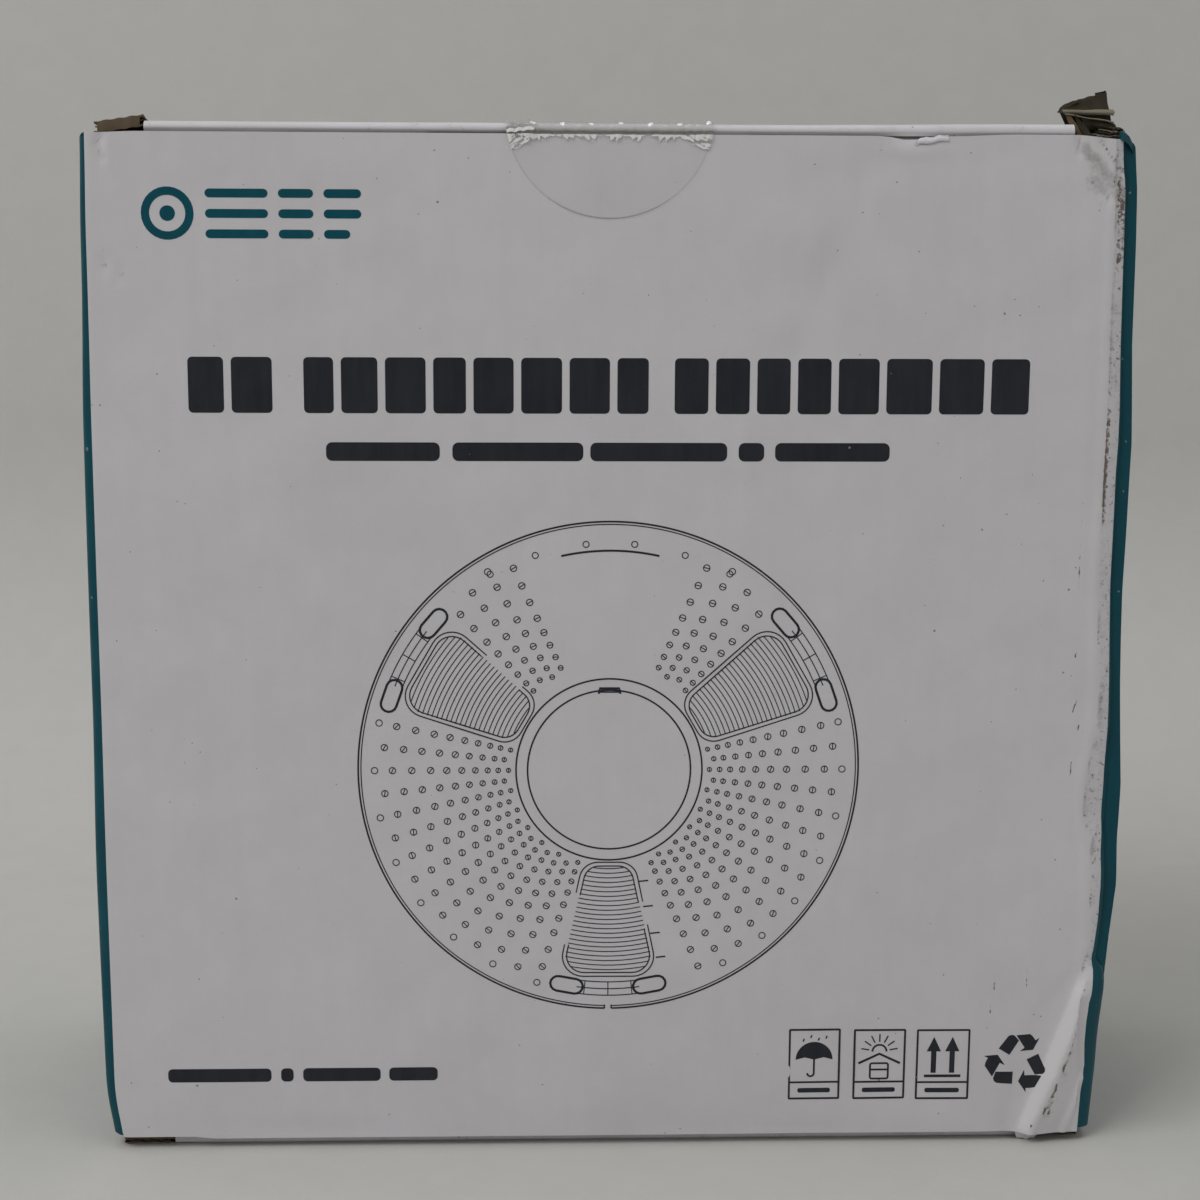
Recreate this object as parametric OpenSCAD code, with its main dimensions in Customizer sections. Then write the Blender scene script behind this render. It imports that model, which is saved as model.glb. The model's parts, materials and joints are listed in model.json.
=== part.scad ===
// Filament carton: a tuck-end box of corrugated board, sealed with one clear disc.
// Inside it lies a two-piece filament spool in a barrier bag.
// Millimetres. +Z is up, the printed front faces -Y, and the origin is the centre of the base.

/* [Carton] */
// Outside width, side panel to side panel
box_w = 207; // [204:1:240]
// Outside depth, front panel to back panel
box_d = 76; // [76:1:100]
// Outside height over both closed lids
box_h = 210; // [208:1:240]
// Thickness of the corrugated board
board = 1.8; // [1.4:0.1:2]
// Outside radius of the upright folds
fold_r = 2.2; // [2.1:0.1:4]
// Width of the glued flap inside the back panel
glue_flap_w = 19; // [12:1:30]

/* [Closures] */
// Length of a tuck flap from its fold
tuck_l = 14; // [10:0.5:14]
// Angle that a tuck flap leans into the box
tuck_lean = 11; // [11:1:13]
// Length of the slit at each end of a tuck fold
slit_l = 10.5; // [8:0.5:20]
// Length of a dust flap from its fold
dust_l = 62; // [40:1:80]
// Slope of a dust flap's rear edge
dust_slope = 30; // [30:1:38]
// Length of lid corner beside a slit that has been bent
corner_l = 10; // [6:1:14]
// Lift of the bent left corner of the top lid
left_lift = 9; // [0:1:20]
// Lift of the bent right corner of the top lid
right_lift = 78; // [40:1:88]
// Diameter of the clear sealing disc
seal_d = 41; // [30:1:50]
// Distance from the disc's centre back from the fold
seal_back = 4.25; // [0:0.25:6]

/* [Spool] */
// Outside diameter of the flanges
spool_d = 198; // [180:1:198]
// Width over both flanges
spool_w = 62; // [50:1:62]
// Thickness of a flange
flange_t = 2.4; // [1.6:0.1:3]
// Diameter of the hole for a spool holder
hub_d = 65; // [50:1:66]
// Outside radius of the winding
winding_r = 82; // [60:1:86]
// Diameter of the filament
strand_d = 1.75; // [1.75, 2.85]
// Angle that unlocks the two halves
latch_turn = 20; // [12:1:24]
// Width of the desiccant sachet
sachet_w = 36; // [24:1:36]
// Length of the desiccant sachet
sachet_l = 50; // [30:1:52]
// Thickness of the desiccant sachet
sachet_t = 5; // [3:0.5:6]

/* [Hidden] */

$fn = 96;
white = "ghostwhite";
teal = "teal";
kraft = "burlywood";

half_w = box_w / 2;
half_d = box_d / 2;
half_board = board / 2;
slip = 0.1;             // gap between boards that slide on each other
fold_gap = 0.05;        // gap between a fold's bead and the board that turns on it
flat_x = half_w - fold_r;

// Folds. Every fold is a bead of half the board's thickness, on the line where the board turns.
lid_fold_y = half_d - half_board;
lid_fold_z = box_h - half_board;
tuck_fold_y = -half_d + board + 0.2 + half_board;
dust_fold_x = half_w - half_board;
dust_fold_z = box_h - board - slip - half_board;
panel_top = box_h - board - 0.2;
panel_bottom = board + 0.2;

// Lids
lid_x = half_w - 2.6;
tuck_x = lid_x - slit_l;
tuck_start = 1.3;       // the tuck's board starts this far from its fold
corner_y = tuck_fold_y + corner_l;

// Dust flaps
dust_front = tuck_fold_y + 2.5;
dust_shoulder = -half_d + board + 0.6;
dust_rear = half_d - board - slip - fold_r - 0.3;
dust_notch = dust_fold_x - tuck_x - 0.6;    // length of the flap's shoulder beside the tuck
dust_start = half_board + fold_gap;

// Seal
seal_t = 0.12;

// Spool, bag and sachet
film_t = 0.3;
film_gap = 0.4;
spool_r = spool_d / 2;
bag_r = spool_r + film_gap + film_t;
bag_half_w = spool_w / 2 + film_gap + film_t;
glue_face = half_d - 2 * board - slip;
spool_y = glue_face - 1 - bag_half_w;
spool_z = 2 * board + 2 * slip + bag_r;
sleeve_wall = 2;
sleeve_r = hub_d / 2 + sleeve_wall;
barrel_bore = sleeve_r + 0.3;
barrel_r = barrel_bore + 2.2;
barrel_l = spool_w - 2 * flange_t - 0.4;
sleeve_l = 22;
lug_depth = 16;         // from the front flange's inner face to the middle of a lug
lug_h = 3;
lug_turn = 7;
lug_r = barrel_r - 0.5;
window_turns = [30, 150, 270];

sachet_up = 13;         // from the bottom of the spool's hole to the sachet's middle

// Route of the filament's loose end about the spool's axis, as [angle, out, across]. out goes from
// 0 on the winding to 1 in the rim slot, and across from 0 where it leaves to 1 inside the flange.
tail_route = [
    [86, 0, 0], [78, 0.03, 0.1], [70, 0.11, 0.22], [62, 0.26, 0.38], [54, 0.48, 0.56],
    [47, 0.7, 0.73], [41, 0.89, 0.88], [36, 0.98, 0.97], [31, 1, 1], [26, 1, 1]
];
tail_r = winding_r + strand_d / 2 + 0.2;
tail_z = -spool_w / 4;
slot_r = 0.92 * spool_r;
slot_w = 5;
flange_z = -(spool_w - flange_t) / 2;

function unit(v) = v / norm(v);
function turned(v, a) = [v.x * cos(a) - v.y * sin(a), v.x * sin(a) + v.y * cos(a)];
function polar(r, a) = [r * cos(a), r * sin(a)];

// Points of an arc of radius r about c, from angle a to angle b
function arc(c, r, a, b, steps = 8) = [for (i = [0:steps]) c + polar(r, a + (b - a) * i / steps)];

// The corner at q between p and s, replaced by an arc of radius r
function round_corner(p, q, s, r, steps) =
    let(
        a = unit(p - q),
        b = unit(s - q),
        half = acos(a * b) / 2,
        c = q + unit(a + b) * r / sin(half),
        v = q + a * r / tan(half) - c,
        side = sign(cross(a, b)),
        sweep = -side * (180 - 2 * half)
    )
    [for (i = [0:steps]) c + turned(v, sweep * i / steps)];

// A polygon whose corners are rounded, each to its own radius
function rounded(points, radii, steps = 6) =
    let(n = len(points))
    [for (i = [0:n - 1])
        each radii[i] == 0
            ? [points[i]]
            : round_corner(points[(i + n - 1) % n], points[i], points[(i + 1) % n], radii[i], steps)];

// A sector of a ring
function ring_sector(r1, r2, a, b, steps = 10) =
    concat(arc([0, 0], r2, a, b, steps), arc([0, 0], r1, b, a, steps));

// A bead along X or along Y
module bead_x(length) rotate([0, 90, 0]) cylinder(d = board, h = length, center = true);
module bead_y(length) rotate([90, 0, 0]) cylinder(d = board, h = length, center = true);

// A board standing in the XZ plane, its outside at y
module upright(x1, x2, z1, z2, y) translate([x1, y, z1]) cube([x2 - x1, board, z2 - z1]);

// ---- Panels ----

module front_panel() color(white)
    upright(-flat_x, flat_x, panel_bottom, panel_top, -half_d);

module back_panel() color(white) {
    upright(-half_w, flat_x, half_board, lid_fold_z, half_d - board);
    for (z = [half_board, lid_fold_z])
        translate([(flat_x - half_w) / 2, lid_fold_y, z]) bead_x(flat_x + half_w);
}

// Plan of a side panel on the right. rear_y is the outside of its rear fold.
module side_plan(rear_y) {
    front_c = [flat_x, -half_d + fold_r];
    rear_c = [flat_x, rear_y - fold_r];
    inner = fold_r - board;
    polygon(concat(
        arc(front_c, fold_r, -90, 0), arc(rear_c, fold_r, 0, 90),
        arc(rear_c, inner, 90, 0), arc(front_c, inner, 0, -90)
    ));
}

module side_panel(rear_y) {
    low = box_h - dust_fold_z;
    translate([0, 0, low]) linear_extrude(dust_fold_z - low) side_plan(rear_y);
    length = rear_y - fold_r + half_d - fold_r;
    for (z = [low, dust_fold_z])
        translate([dust_fold_x, -half_d + fold_r + length / 2, z]) bead_y(length);
}

module right_panel() color(teal) side_panel(half_d);

module left_panel() color(teal) mirror([1, 0, 0]) side_panel(half_d - board - slip);

module glue_flap() color(kraft)
    translate([0, half_d - board - slip, 0]) rotate([90, 0, 0]) linear_extrude(board)
        polygon(rounded([
            [-flat_x, 8], [-flat_x + glue_flap_w, 14],
            [-flat_x + glue_flap_w, box_h - 14], [-flat_x, box_h - 8]
        ], [0, 2, 2, 0]));

// ---- Closures. They are drawn for the top, and the bottom is their mirror image. ----

module bottomed() translate([0, 0, box_h]) mirror([0, 0, 1]) children();

// The lid's plan, with its front corners cut out where they are bent separately
module lid_plan(cut_left, cut_right) {
    rear = lid_fold_y - half_board - fold_gap;
    left = cut_left ? [[-tuck_x, tuck_fold_y], [-tuck_x, corner_y], [-lid_x, corner_y]]
                    : [[-tuck_x, tuck_fold_y], [-lid_x, tuck_fold_y]];
    right = cut_right ? [[lid_x, corner_y], [tuck_x, corner_y], [tuck_x, tuck_fold_y]]
                      : [[lid_x, tuck_fold_y], [tuck_x, tuck_fold_y]];
    polygon(concat(left, [[-lid_x, rear], [lid_x, rear]], right));
}

module lid_corner(side, lift)
    translate([0, corner_y, box_h - half_board]) rotate([-lift, 0, 0])
        translate([side > 0 ? tuck_x + slip : -lid_x, -corner_l - half_board, -half_board])
            cube([slit_l - slip, corner_l + half_board, board]);

module lid(cut_left, cut_right) {
    translate([0, 0, box_h - board]) linear_extrude(board) lid_plan(cut_left, cut_right);
    translate([0, tuck_fold_y, lid_fold_z]) bead_x(2 * tuck_x);
}

module top_lid() color(white) {
    lid(left_lift > 0, true);
    if (left_lift > 0) lid_corner(-1, left_lift);
    lid_corner(1, right_lift);
}

module tuck() translate([0, tuck_fold_y, lid_fold_z]) rotate([90 + tuck_lean, 0, 0])
    translate([0, 0, -half_board]) linear_extrude(board) mirror([0, 1, 0])
        polygon(rounded([
            [-tuck_x + 0.5, tuck_start], [tuck_x - 0.5, tuck_start],
            [tuck_x - 2.5, tuck_l], [-tuck_x + 2.5, tuck_l]
        ], [0, 0, 6, 6]));

module dust_flap(side) {
    run = (dust_l - dust_start) * tan(dust_slope);
    tip_front = dust_front + 3;
    outline = rounded([
        [dust_start, dust_shoulder], [dust_notch - 0.2, dust_shoulder], [dust_notch, dust_front],
        [dust_l, tip_front], [dust_l, dust_rear - run], [dust_start, dust_rear]
    ], [0, 1, 1, 5, 8, 0]);
    translate([side * dust_fold_x, 0, dust_fold_z - half_board]) linear_extrude(board)
        polygon([for (p = outline) [-side * p.x, p.y]]);
}

module top_tuck() color(white) tuck();
module top_dust_left() color(teal) dust_flap(-1);
module top_dust_right() color(teal) dust_flap(1);

module bottom_lid() color(white) bottomed() lid(false, false);
module bottom_tuck() color(white) bottomed() tuck();
module bottom_dust_left() color(teal) bottomed() dust_flap(-1);
module bottom_dust_right() color(teal) bottomed() dust_flap(1);

// Clear film folded over the lid's front edge and onto the front panel. It bends at the tuck's
// fold, so it is in two pieces that stop short of each other there.
seal_top = box_h + fold_gap;
seal_front = -half_d - fold_gap;
seal_bend = [tuck_fold_y - 0.3, seal_top];
seal_corner = [seal_front, panel_top];

function seal_slope(k) = seal_bend + k * (seal_corner - seal_bend);

module seal_strip(profile) intersection() {
    translate([-seal_d / 2, 0, 0]) rotate([90, 0, 90]) linear_extrude(seal_d) polygon(profile);
    union() {
        translate([0, seal_bend.x + seal_back, panel_top]) cylinder(d = seal_d, h = 10);
        translate([0, seal_front + 10, panel_top + seal_back]) rotate([90, 0, 0]) difference() {
            cylinder(d = seal_d, h = 20);
            translate([-seal_d, -seal_back, -1]) cube([2 * seal_d, seal_d, 22]);
        }
    }
}

module top_seal_upper() color("lightcyan", 0.5) {
    back = seal_bend.x + seal_d;
    tip = seal_slope(0.26);
    out = [-seal_t / 2, seal_t];
    seal_strip([[back, seal_top], seal_bend, tip, tip + out, seal_bend + out, [back, seal_top + seal_t]]);
}

module top_seal_lower() color("lightcyan", 0.5) {
    low = panel_top - seal_d;
    tip = seal_slope(0.4);
    out = [-seal_t, seal_t / 2];
    seal_strip([
        tip, seal_corner, [seal_front, low], [seal_front - seal_t, low], seal_corner + out, tip + out
    ]);
}

// ---- Spool. Its own axis is Z here, with the front flange at the top. ----

module in_spool_place() translate([0, spool_y, spool_z]) rotate([90, 0, 0]) children();

// A window: a rounded keystone that shows the winding
function window_outline() = rounded([
    [0.405 * spool_r, -9], [0.405 * spool_r, 9], [0.85 * spool_r, 19], [0.85 * spool_r, -19]
], [6, 6, 9, 9]);

module perforations() {
    for (w = window_turns, ring = [0:4], k = [-2:2]) {
        turn = w + 60 + k * 10 + (ring % 2 == 0 ? 0 : 5);
        if (abs(turn - w - 60) < 24)
            rotate(turn) translate([(0.45 + 0.105 * ring) * spool_r, 0]) circle(d = 4.2, $fn = 24);
    }
}

module flange_plan() difference() {
    circle(r = spool_r, $fn = 180);
    circle(d = hub_d);
    perforations();
    for (w = window_turns) rotate(w) {
        polygon(window_outline());
        polygon(ring_sector(slot_r - slot_w / 2, slot_r + slot_w / 2, -11, 11));
    }
}

// A block on or through the barrel's wall, from angle a to angle b and from height z1 to z2
module wall_block(r1, r2, a, b, z1, z2)
    translate([0, 0, z1]) linear_extrude(z2 - z1) polygon(ring_sector(r1, r2, a, b, 6));

module spool_rear_half() color("dimgray") in_spool_place() {
    low = -spool_w / 2;
    lug_z = spool_w / 2 - flange_t - lug_depth;
    barrel_top = low + flange_t + barrel_l;
    translate([0, 0, low]) linear_extrude(flange_t) flange_plan();
    difference() {
        translate([0, 0, low + flange_t / 2]) cylinder(r = barrel_r, h = barrel_l + flange_t / 2);
        translate([0, 0, low + flange_t]) cylinder(r = barrel_bore, h = spool_w);
        translate([0, 0, low - 1]) cylinder(d = hub_d, h = spool_w);
        for (t = [0, 120, 240]) rotate(t) {
            wall_block(barrel_bore - 1, barrel_r + 1, -lug_turn / 2 - 1, latch_turn + lug_turn / 2 + 1,
                lug_z - lug_h / 2 - 0.3, lug_z + lug_h / 2 + 0.3);
            wall_block(barrel_bore - 1, barrel_r + 1, latch_turn - lug_turn / 2 - 1,
                latch_turn + lug_turn / 2 + 1, lug_z, barrel_top + 1);
        }
    }
}

module spool_front_half() color("dimgray") in_spool_place() {
    top = spool_w / 2;
    inner = top - flange_t;
    translate([0, 0, inner]) linear_extrude(flange_t) flange_plan();
    difference() {
        translate([0, 0, inner - sleeve_l]) cylinder(r = sleeve_r, h = sleeve_l + flange_t / 2);
        translate([0, 0, -spool_w]) cylinder(d = hub_d, h = 2 * spool_w);
    }
    for (t = [0, 120, 240]) rotate(t)
        wall_block(sleeve_r - 0.5, lug_r, -lug_turn / 2, lug_turn / 2,
            inner - lug_depth - lug_h / 2, inner - lug_depth + lug_h / 2);
}

module filament_winding() color("ivory") in_spool_place() {
    half = spool_w / 2 - flange_t - 0.3;
    rotate_extrude() polygon(rounded([
        [barrel_r + 0.2, -half], [winding_r, -half], [winding_r, half], [barrel_r + 0.2, half]
    ], [0, 2, 2, 0]));
}

// A tube along the route, with a ring of points square to it at each stop
module filament_tail() color("ivory") in_spool_place() {
    sides = 8;
    stops = len(tail_route);
    at = [for (p = tail_route)
        let(r = tail_r + p[1] * (slot_r - tail_r))
        [r * cos(p[0]), r * sin(p[0]), tail_z + p[2] * (flange_z - tail_z)]];
    rings = [for (i = [0:stops - 1])
        let(
            ahead = unit(at[min(i + 1, stops - 1)] - at[max(i - 1, 0)]),
            across = unit(cross(ahead, [0, 0, 1])),
            up = cross(across, ahead)
        )
        each [for (s = [0:sides - 1])
            at[i] + strand_d / 2 * (cos(360 * s / sides) * across + sin(360 * s / sides) * up)]];
    polyhedron(rings, concat(
        [[for (s = [0:sides - 1]) s]],
        [for (i = [0:stops - 2], s = [0:sides - 1])
            let(n = (s + 1) % sides)
            [i * sides + s, (i + 1) * sides + s, (i + 1) * sides + n, i * sides + n]],
        [[for (s = [sides - 1:-1:0]) (stops - 1) * sides + s]]
    ));
}

// A flat pillow that lies in the bottom of the spool's hole
module desiccant_sachet() color("white") in_spool_place()
    translate([0, -hub_d / 2 + sachet_up, 0]) hull() {
        cube([sachet_w - 6, sachet_t, sachet_l - 6], center = true);
        cube([sachet_w, sachet_t / 4, sachet_l], center = true);
    }

// One half of the bag: a shallow cup of film over one face and half of the rim
module bag_film() {
    rotate_extrude($fn = 180) polygon([
        [0, bag_half_w - film_t], [bag_r - film_t, bag_half_w - film_t], [bag_r - film_t, 0],
        [bag_r, 0], [bag_r, bag_half_w], [0, bag_half_w]
    ]);
}

module bag_front_film() color("lightcyan", 0.4) in_spool_place() bag_film();
module bag_rear_film() color("lightcyan", 0.4) in_spool_place() mirror([0, 0, 1]) bag_film();

front_panel();
back_panel();
left_panel();
right_panel();
glue_flap();
top_lid();
top_tuck();
top_dust_left();
top_dust_right();
top_seal_upper();
top_seal_lower();
bottom_lid();
bottom_tuck();
bottom_dust_left();
bottom_dust_right();
spool_rear_half();
spool_front_half();
filament_winding();
filament_tail();
desiccant_sachet();
bag_front_film();
bag_rear_film();
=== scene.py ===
import json
import math
import random

import bmesh
import bpy
import numpy as np
from mathutils import Matrix, Vector


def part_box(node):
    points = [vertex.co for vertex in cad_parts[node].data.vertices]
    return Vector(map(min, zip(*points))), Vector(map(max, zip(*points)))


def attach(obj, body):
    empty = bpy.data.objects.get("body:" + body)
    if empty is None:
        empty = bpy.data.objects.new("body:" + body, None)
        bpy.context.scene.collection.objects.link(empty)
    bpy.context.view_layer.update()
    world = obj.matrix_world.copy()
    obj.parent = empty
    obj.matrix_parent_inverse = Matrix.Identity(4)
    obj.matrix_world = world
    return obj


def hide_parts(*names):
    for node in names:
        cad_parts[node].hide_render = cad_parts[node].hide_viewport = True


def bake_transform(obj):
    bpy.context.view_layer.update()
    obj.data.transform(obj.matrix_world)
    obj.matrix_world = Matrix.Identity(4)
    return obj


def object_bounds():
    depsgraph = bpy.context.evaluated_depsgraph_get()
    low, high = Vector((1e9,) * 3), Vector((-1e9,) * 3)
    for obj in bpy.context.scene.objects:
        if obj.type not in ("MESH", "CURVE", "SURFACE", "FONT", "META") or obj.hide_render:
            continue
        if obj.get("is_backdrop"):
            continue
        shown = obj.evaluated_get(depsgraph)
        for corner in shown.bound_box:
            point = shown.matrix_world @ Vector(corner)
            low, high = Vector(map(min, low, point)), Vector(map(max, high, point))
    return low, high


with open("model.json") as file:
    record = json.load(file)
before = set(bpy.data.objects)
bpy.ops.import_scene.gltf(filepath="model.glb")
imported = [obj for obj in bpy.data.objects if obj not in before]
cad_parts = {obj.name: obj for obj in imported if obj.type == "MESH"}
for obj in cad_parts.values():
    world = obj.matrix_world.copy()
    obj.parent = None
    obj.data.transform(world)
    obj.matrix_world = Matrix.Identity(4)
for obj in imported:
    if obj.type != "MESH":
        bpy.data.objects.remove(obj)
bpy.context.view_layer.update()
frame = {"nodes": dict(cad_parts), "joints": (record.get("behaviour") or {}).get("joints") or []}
scene = bpy.context.scene
mm = 0.001
draw = random.Random(7)

# Camera. Places are in millimetres, angles in degrees.
cameraSet = {
    "place": (-15.44, -449.2, 185.5),
    "tilt": 80.47,
    "pan": -1.94,
    "roll": 0.28,
    "lens": 62.04,
    "sensor": 36,
    "near": 0.01,
    "far": 20,
}

cameraData = bpy.data.cameras.new("camera")
cameraData.lens = cameraSet["lens"]
cameraData.sensor_width = cameraSet["sensor"]
cameraData.clip_start = cameraSet["near"]
cameraData.clip_end = cameraSet["far"]
camera = bpy.data.objects.new("camera", cameraData)
scene.collection.objects.link(camera)
camera.matrix_world = (
    Matrix.Translation(Vector(cameraSet["place"]) * mm)
    @ Matrix.Rotation(math.radians(cameraSet["pan"]), 4, "Z")
    @ Matrix.Rotation(math.radians(cameraSet["tilt"]), 4, "X")
    @ Matrix.Rotation(math.radians(cameraSet["roll"]), 4, "Z")
)
scene.camera = camera
print("camera done")


# Sizes from the frame, in millimetres

def boxOf(node):
    low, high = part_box(node)
    return np.array(low) / mm, np.array(high) / mm


def jointAt(name):
    joint = next(j for j in frame["joints"] if j["name"] == name)
    return np.array(joint["pos_m"]) / mm


frontLow, frontHigh = boxOf("front_panel")
backLow, backHigh = boxOf("back_panel")
board = frontHigh[1] - frontLow[1]
halfBoard = board / 2
halfW = boxOf("right_panel")[1][0]
halfD = -frontLow[1]
flatX = frontHigh[0]
foldR = halfW - flatX
leftRear = boxOf("left_panel")[1][1]
lidFold = jointAt("top_lid_fold")
tuckFold = jointAt("top_tuck_fold")
dustFold = jointAt("top_dust_right_fold")
spoolAxis = jointAt("spool_twist_lock")
boxH = lidFold[2] + halfBoard
panelBottom = frontLow[2]
panelTop = frontHigh[2]
quarter = foldR * math.pi / 2


# Mesh code. A mesh is gathered as points and faces in millimetres, with two marks per point:
# wear, where the print is rubbed off, which on the clear film paints glints; and grime and shading,
# which paints soiling and, at some places, painted shade, and below zero a painted highlight.

def newMesh():
    return {"points": [], "faces": [], "finish": [], "wear": [], "grimeAndShading": [], "count": 0}


def addPoints(mesh, points, wear=0.0, grimeAndShading=0.0):
    points = np.asarray(points, float).reshape(-1, 3)
    start = mesh["count"]
    mesh["points"].append(points)
    mesh["wear"].append(np.broadcast_to(np.ravel(wear), (len(points),)))
    mesh["grimeAndShading"].append(np.broadcast_to(np.ravel(grimeAndShading), (len(points),)))
    mesh["count"] += len(points)
    return start


def addFace(mesh, corners, finish=0):
    mesh["faces"].append(tuple(int(c) for c in corners))
    mesh["finish"].append(finish)


def sweepRings(mesh, rings, closed=False, finish=0, wear=0.0, grimeAndShading=0.0, cap=None):
    # rings is stops x points per ring x 3. finish is one for all sides, or a list with one for each
    stops, sides = rings.shape[:2]
    finishes = finish if isinstance(finish, list) else [finish] * sides
    start = addPoints(mesh, rings, wear, grimeAndShading)
    for i in range(stops if closed else stops - 1):
        here = start + i * sides
        there = start + ((i + 1) % stops) * sides
        for k in range(sides):
            n = (k + 1) % sides
            addFace(mesh, (here + k, here + n, there + n, there + k), finishes[k])
    if not closed:
        cap = finish if cap is None else cap
        addFace(mesh, [start + k for k in range(sides)], cap)
        addFace(mesh, [start + (stops - 1) * sides + k for k in range(sides)], cap)


def rimLoop(nu, nv):
    # the places round the edge of a grid, in order
    loop = [(i, 0) for i in range(nu - 1)] + [(nu - 1, j) for j in range(nv - 1)]
    return loop + [(i, nv - 1) for i in range(nu - 1, 0, -1)] + [(0, j) for j in range(nv - 1, 0, -1)]


def addSheet(mesh, upper, lower, wear=0.0, grimeAndShading=0.0, finishes=(0, 0, 0)):
    # a closed sheet between two grids of points. finishes are for its upper face, lower face and rim
    first, second = addPoints(mesh, upper, wear, grimeAndShading), addPoints(mesh, lower, wear, grimeAndShading)
    nu, nv = upper.shape[:2]
    for i in range(nu - 1):
        for j in range(nv - 1):
            k = i * nv + j
            addFace(mesh, (first + k, first + k + nv, first + k + nv + 1, first + k + 1), finishes[0])
            addFace(mesh, (second + k, second + k + 1, second + k + nv + 1, second + k + nv), finishes[1])
    loop = rimLoop(nu, nv)
    for (i, j), (p, q) in zip(loop, loop[1:] + loop[:1]):
        m, n = i * nv + j, p * nv + q
        addFace(mesh, (first + m, first + n, second + n, second + m), finishes[2])


def makePiece(mesh, name, materials, flip=False, sharp=38, smoothing=True):
    points = np.concatenate(mesh["points"]) * mm
    if flip:
        points[:, 2] = boxH * mm - points[:, 2]
    data = bpy.data.meshes.new(name)
    data.from_pydata(points.tolist(), [], mesh["faces"])
    for mark in ("wear", "grimeAndShading"):
        layer = data.attributes.new(mark, "FLOAT", "POINT")
        layer.data.foreach_set("value", np.concatenate(mesh[mark]).astype(np.float32))
    for material in materials:
        data.materials.append(material)
    data.polygons.foreach_set("material_index", mesh["finish"])
    solid = bmesh.new()
    solid.from_mesh(data)
    bmesh.ops.remove_doubles(solid, verts=solid.verts, dist=2e-6)
    bmesh.ops.dissolve_degenerate(solid, edges=solid.edges, dist=1e-6)
    bmesh.ops.recalc_face_normals(solid, faces=solid.faces)
    for face in solid.faces:
        face.smooth = smoothing
    limit = math.radians(sharp)
    for edge in solid.edges:
        if len(edge.link_faces) == 2 and edge.calc_face_angle(0) > limit:
            edge.smooth = False
    solid.to_mesh(data)
    solid.free()
    piece = bpy.data.objects.new(name, data)
    scene.collection.objects.link(piece)
    return piece


def ease(t):
    t = np.clip(t, 0, 1)
    return t * t * (3 - 2 * t)


def nearLine(x, z, line):
    # distance from each (x, z) to a broken line
    best = np.full(np.broadcast(x, z).shape, 1e9)
    for (x1, z1), (x2, z2) in zip(line, line[1:]):
        dx, dz = x2 - x1, z2 - z1
        t = np.clip(((x - x1) * dx + (z - z1) * dz) / (dx * dx + dz * dz), 0, 1)
        best = np.minimum(best, np.hypot(x - x1 - t * dx, z - z1 - t * dz))
    return best


def swell(x, z, cx, cz, wide, tall):
    return np.exp(-((x - cx) / wide) ** 2 - ((z - cz) / tall) ** 2)


def makeWaves(count, shortest, longest, height):
    waves = []
    for _ in range(count):
        length = draw.uniform(shortest, longest)
        turn = draw.uniform(0, math.pi)
        waves.append((
            height * draw.uniform(0.5, 1),
            2 * math.pi / length * math.cos(turn),
            2 * math.pi / length * math.sin(turn),
            draw.uniform(0, 6.3),
        ))
    return waves


def ripple(waves, x, z):
    return sum(a * np.sin(kx * x + kz * z + p) for a, kx, kz, p in waves)


def span(low, high, step, *exact):
    # grid lines from low to high, about a step apart, that also pass through the exact places
    stops = sorted({low, high, *[e for e in exact if low < e < high]})
    lines = [np.linspace(a, b, max(2, round((b - a) / step) + 1))[:-1] for a, b in zip(stops, stops[1:])]
    return np.append(np.concatenate(lines), high)


def merged(*lines, places=4):
    return np.unique(np.round(np.concatenate(lines), places))


# Corrugated board: printed liner outside, kraft liner inside, and a fluted sheet between them
boardSet = {
    "liner": 0.3,
    "grooveDepth": 2.2,
    "flutePitch": 3.1,
    "fluteSheet": 0.2,
    "fluteRecess": 0.25,
    "recessWave": 0.12,
    "flatBow": 0.3,
    "flatBeat": 17,
    "cornerReach": 1.35,
}


def addFlute(mesh, outer, inner, inward, pitch):
    # the fluted sheet's end in the groove of a raw edge, or its flat side where pitch is 0
    run = np.concatenate([[0], np.cumsum(np.linalg.norm(np.diff(outer, axis=0), axis=1))])
    step = (pitch or 12) / 8
    at = np.linspace(step / 2, run[-1] - step / 2, max(3, int(run[-1] / step)))

    def along(values):
        return np.stack([np.interp(at, run, values[:, k]) for k in range(3)], axis=1)

    edge, far, way = along(outer), along(inner), along(inward)
    lift = 0.5 - boardSet["liner"] / board - boardSet["fluteSheet"] / board / 2
    if pitch:
        middle = 0.5 + lift * np.sin(2 * math.pi * at / pitch)
    else:
        middle = 0.5 + boardSet["flatBow"] * lift * np.sin(at / boardSet["flatBeat"] + run[-1])
    half = boardSet["fluteSheet"] / board / 2
    rails = []
    recessWave = boardSet["recessWave"] * np.sin(at * 0.9 + run[-1])
    recess = boardSet["fluteRecess"] + recessWave * (1 if pitch else 2)
    for share, deep in ((-half, recess), (half, recess), (half, None), (-half, None)):
        reach = boardSet["grooveDepth"] - 0.15 if deep is None else deep[:, None]
        rails.append(edge + (far - edge) * (middle + share)[:, None] + way * reach)
    sweepRings(mesh, np.stack(rails, axis=1), finish=1)


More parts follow.
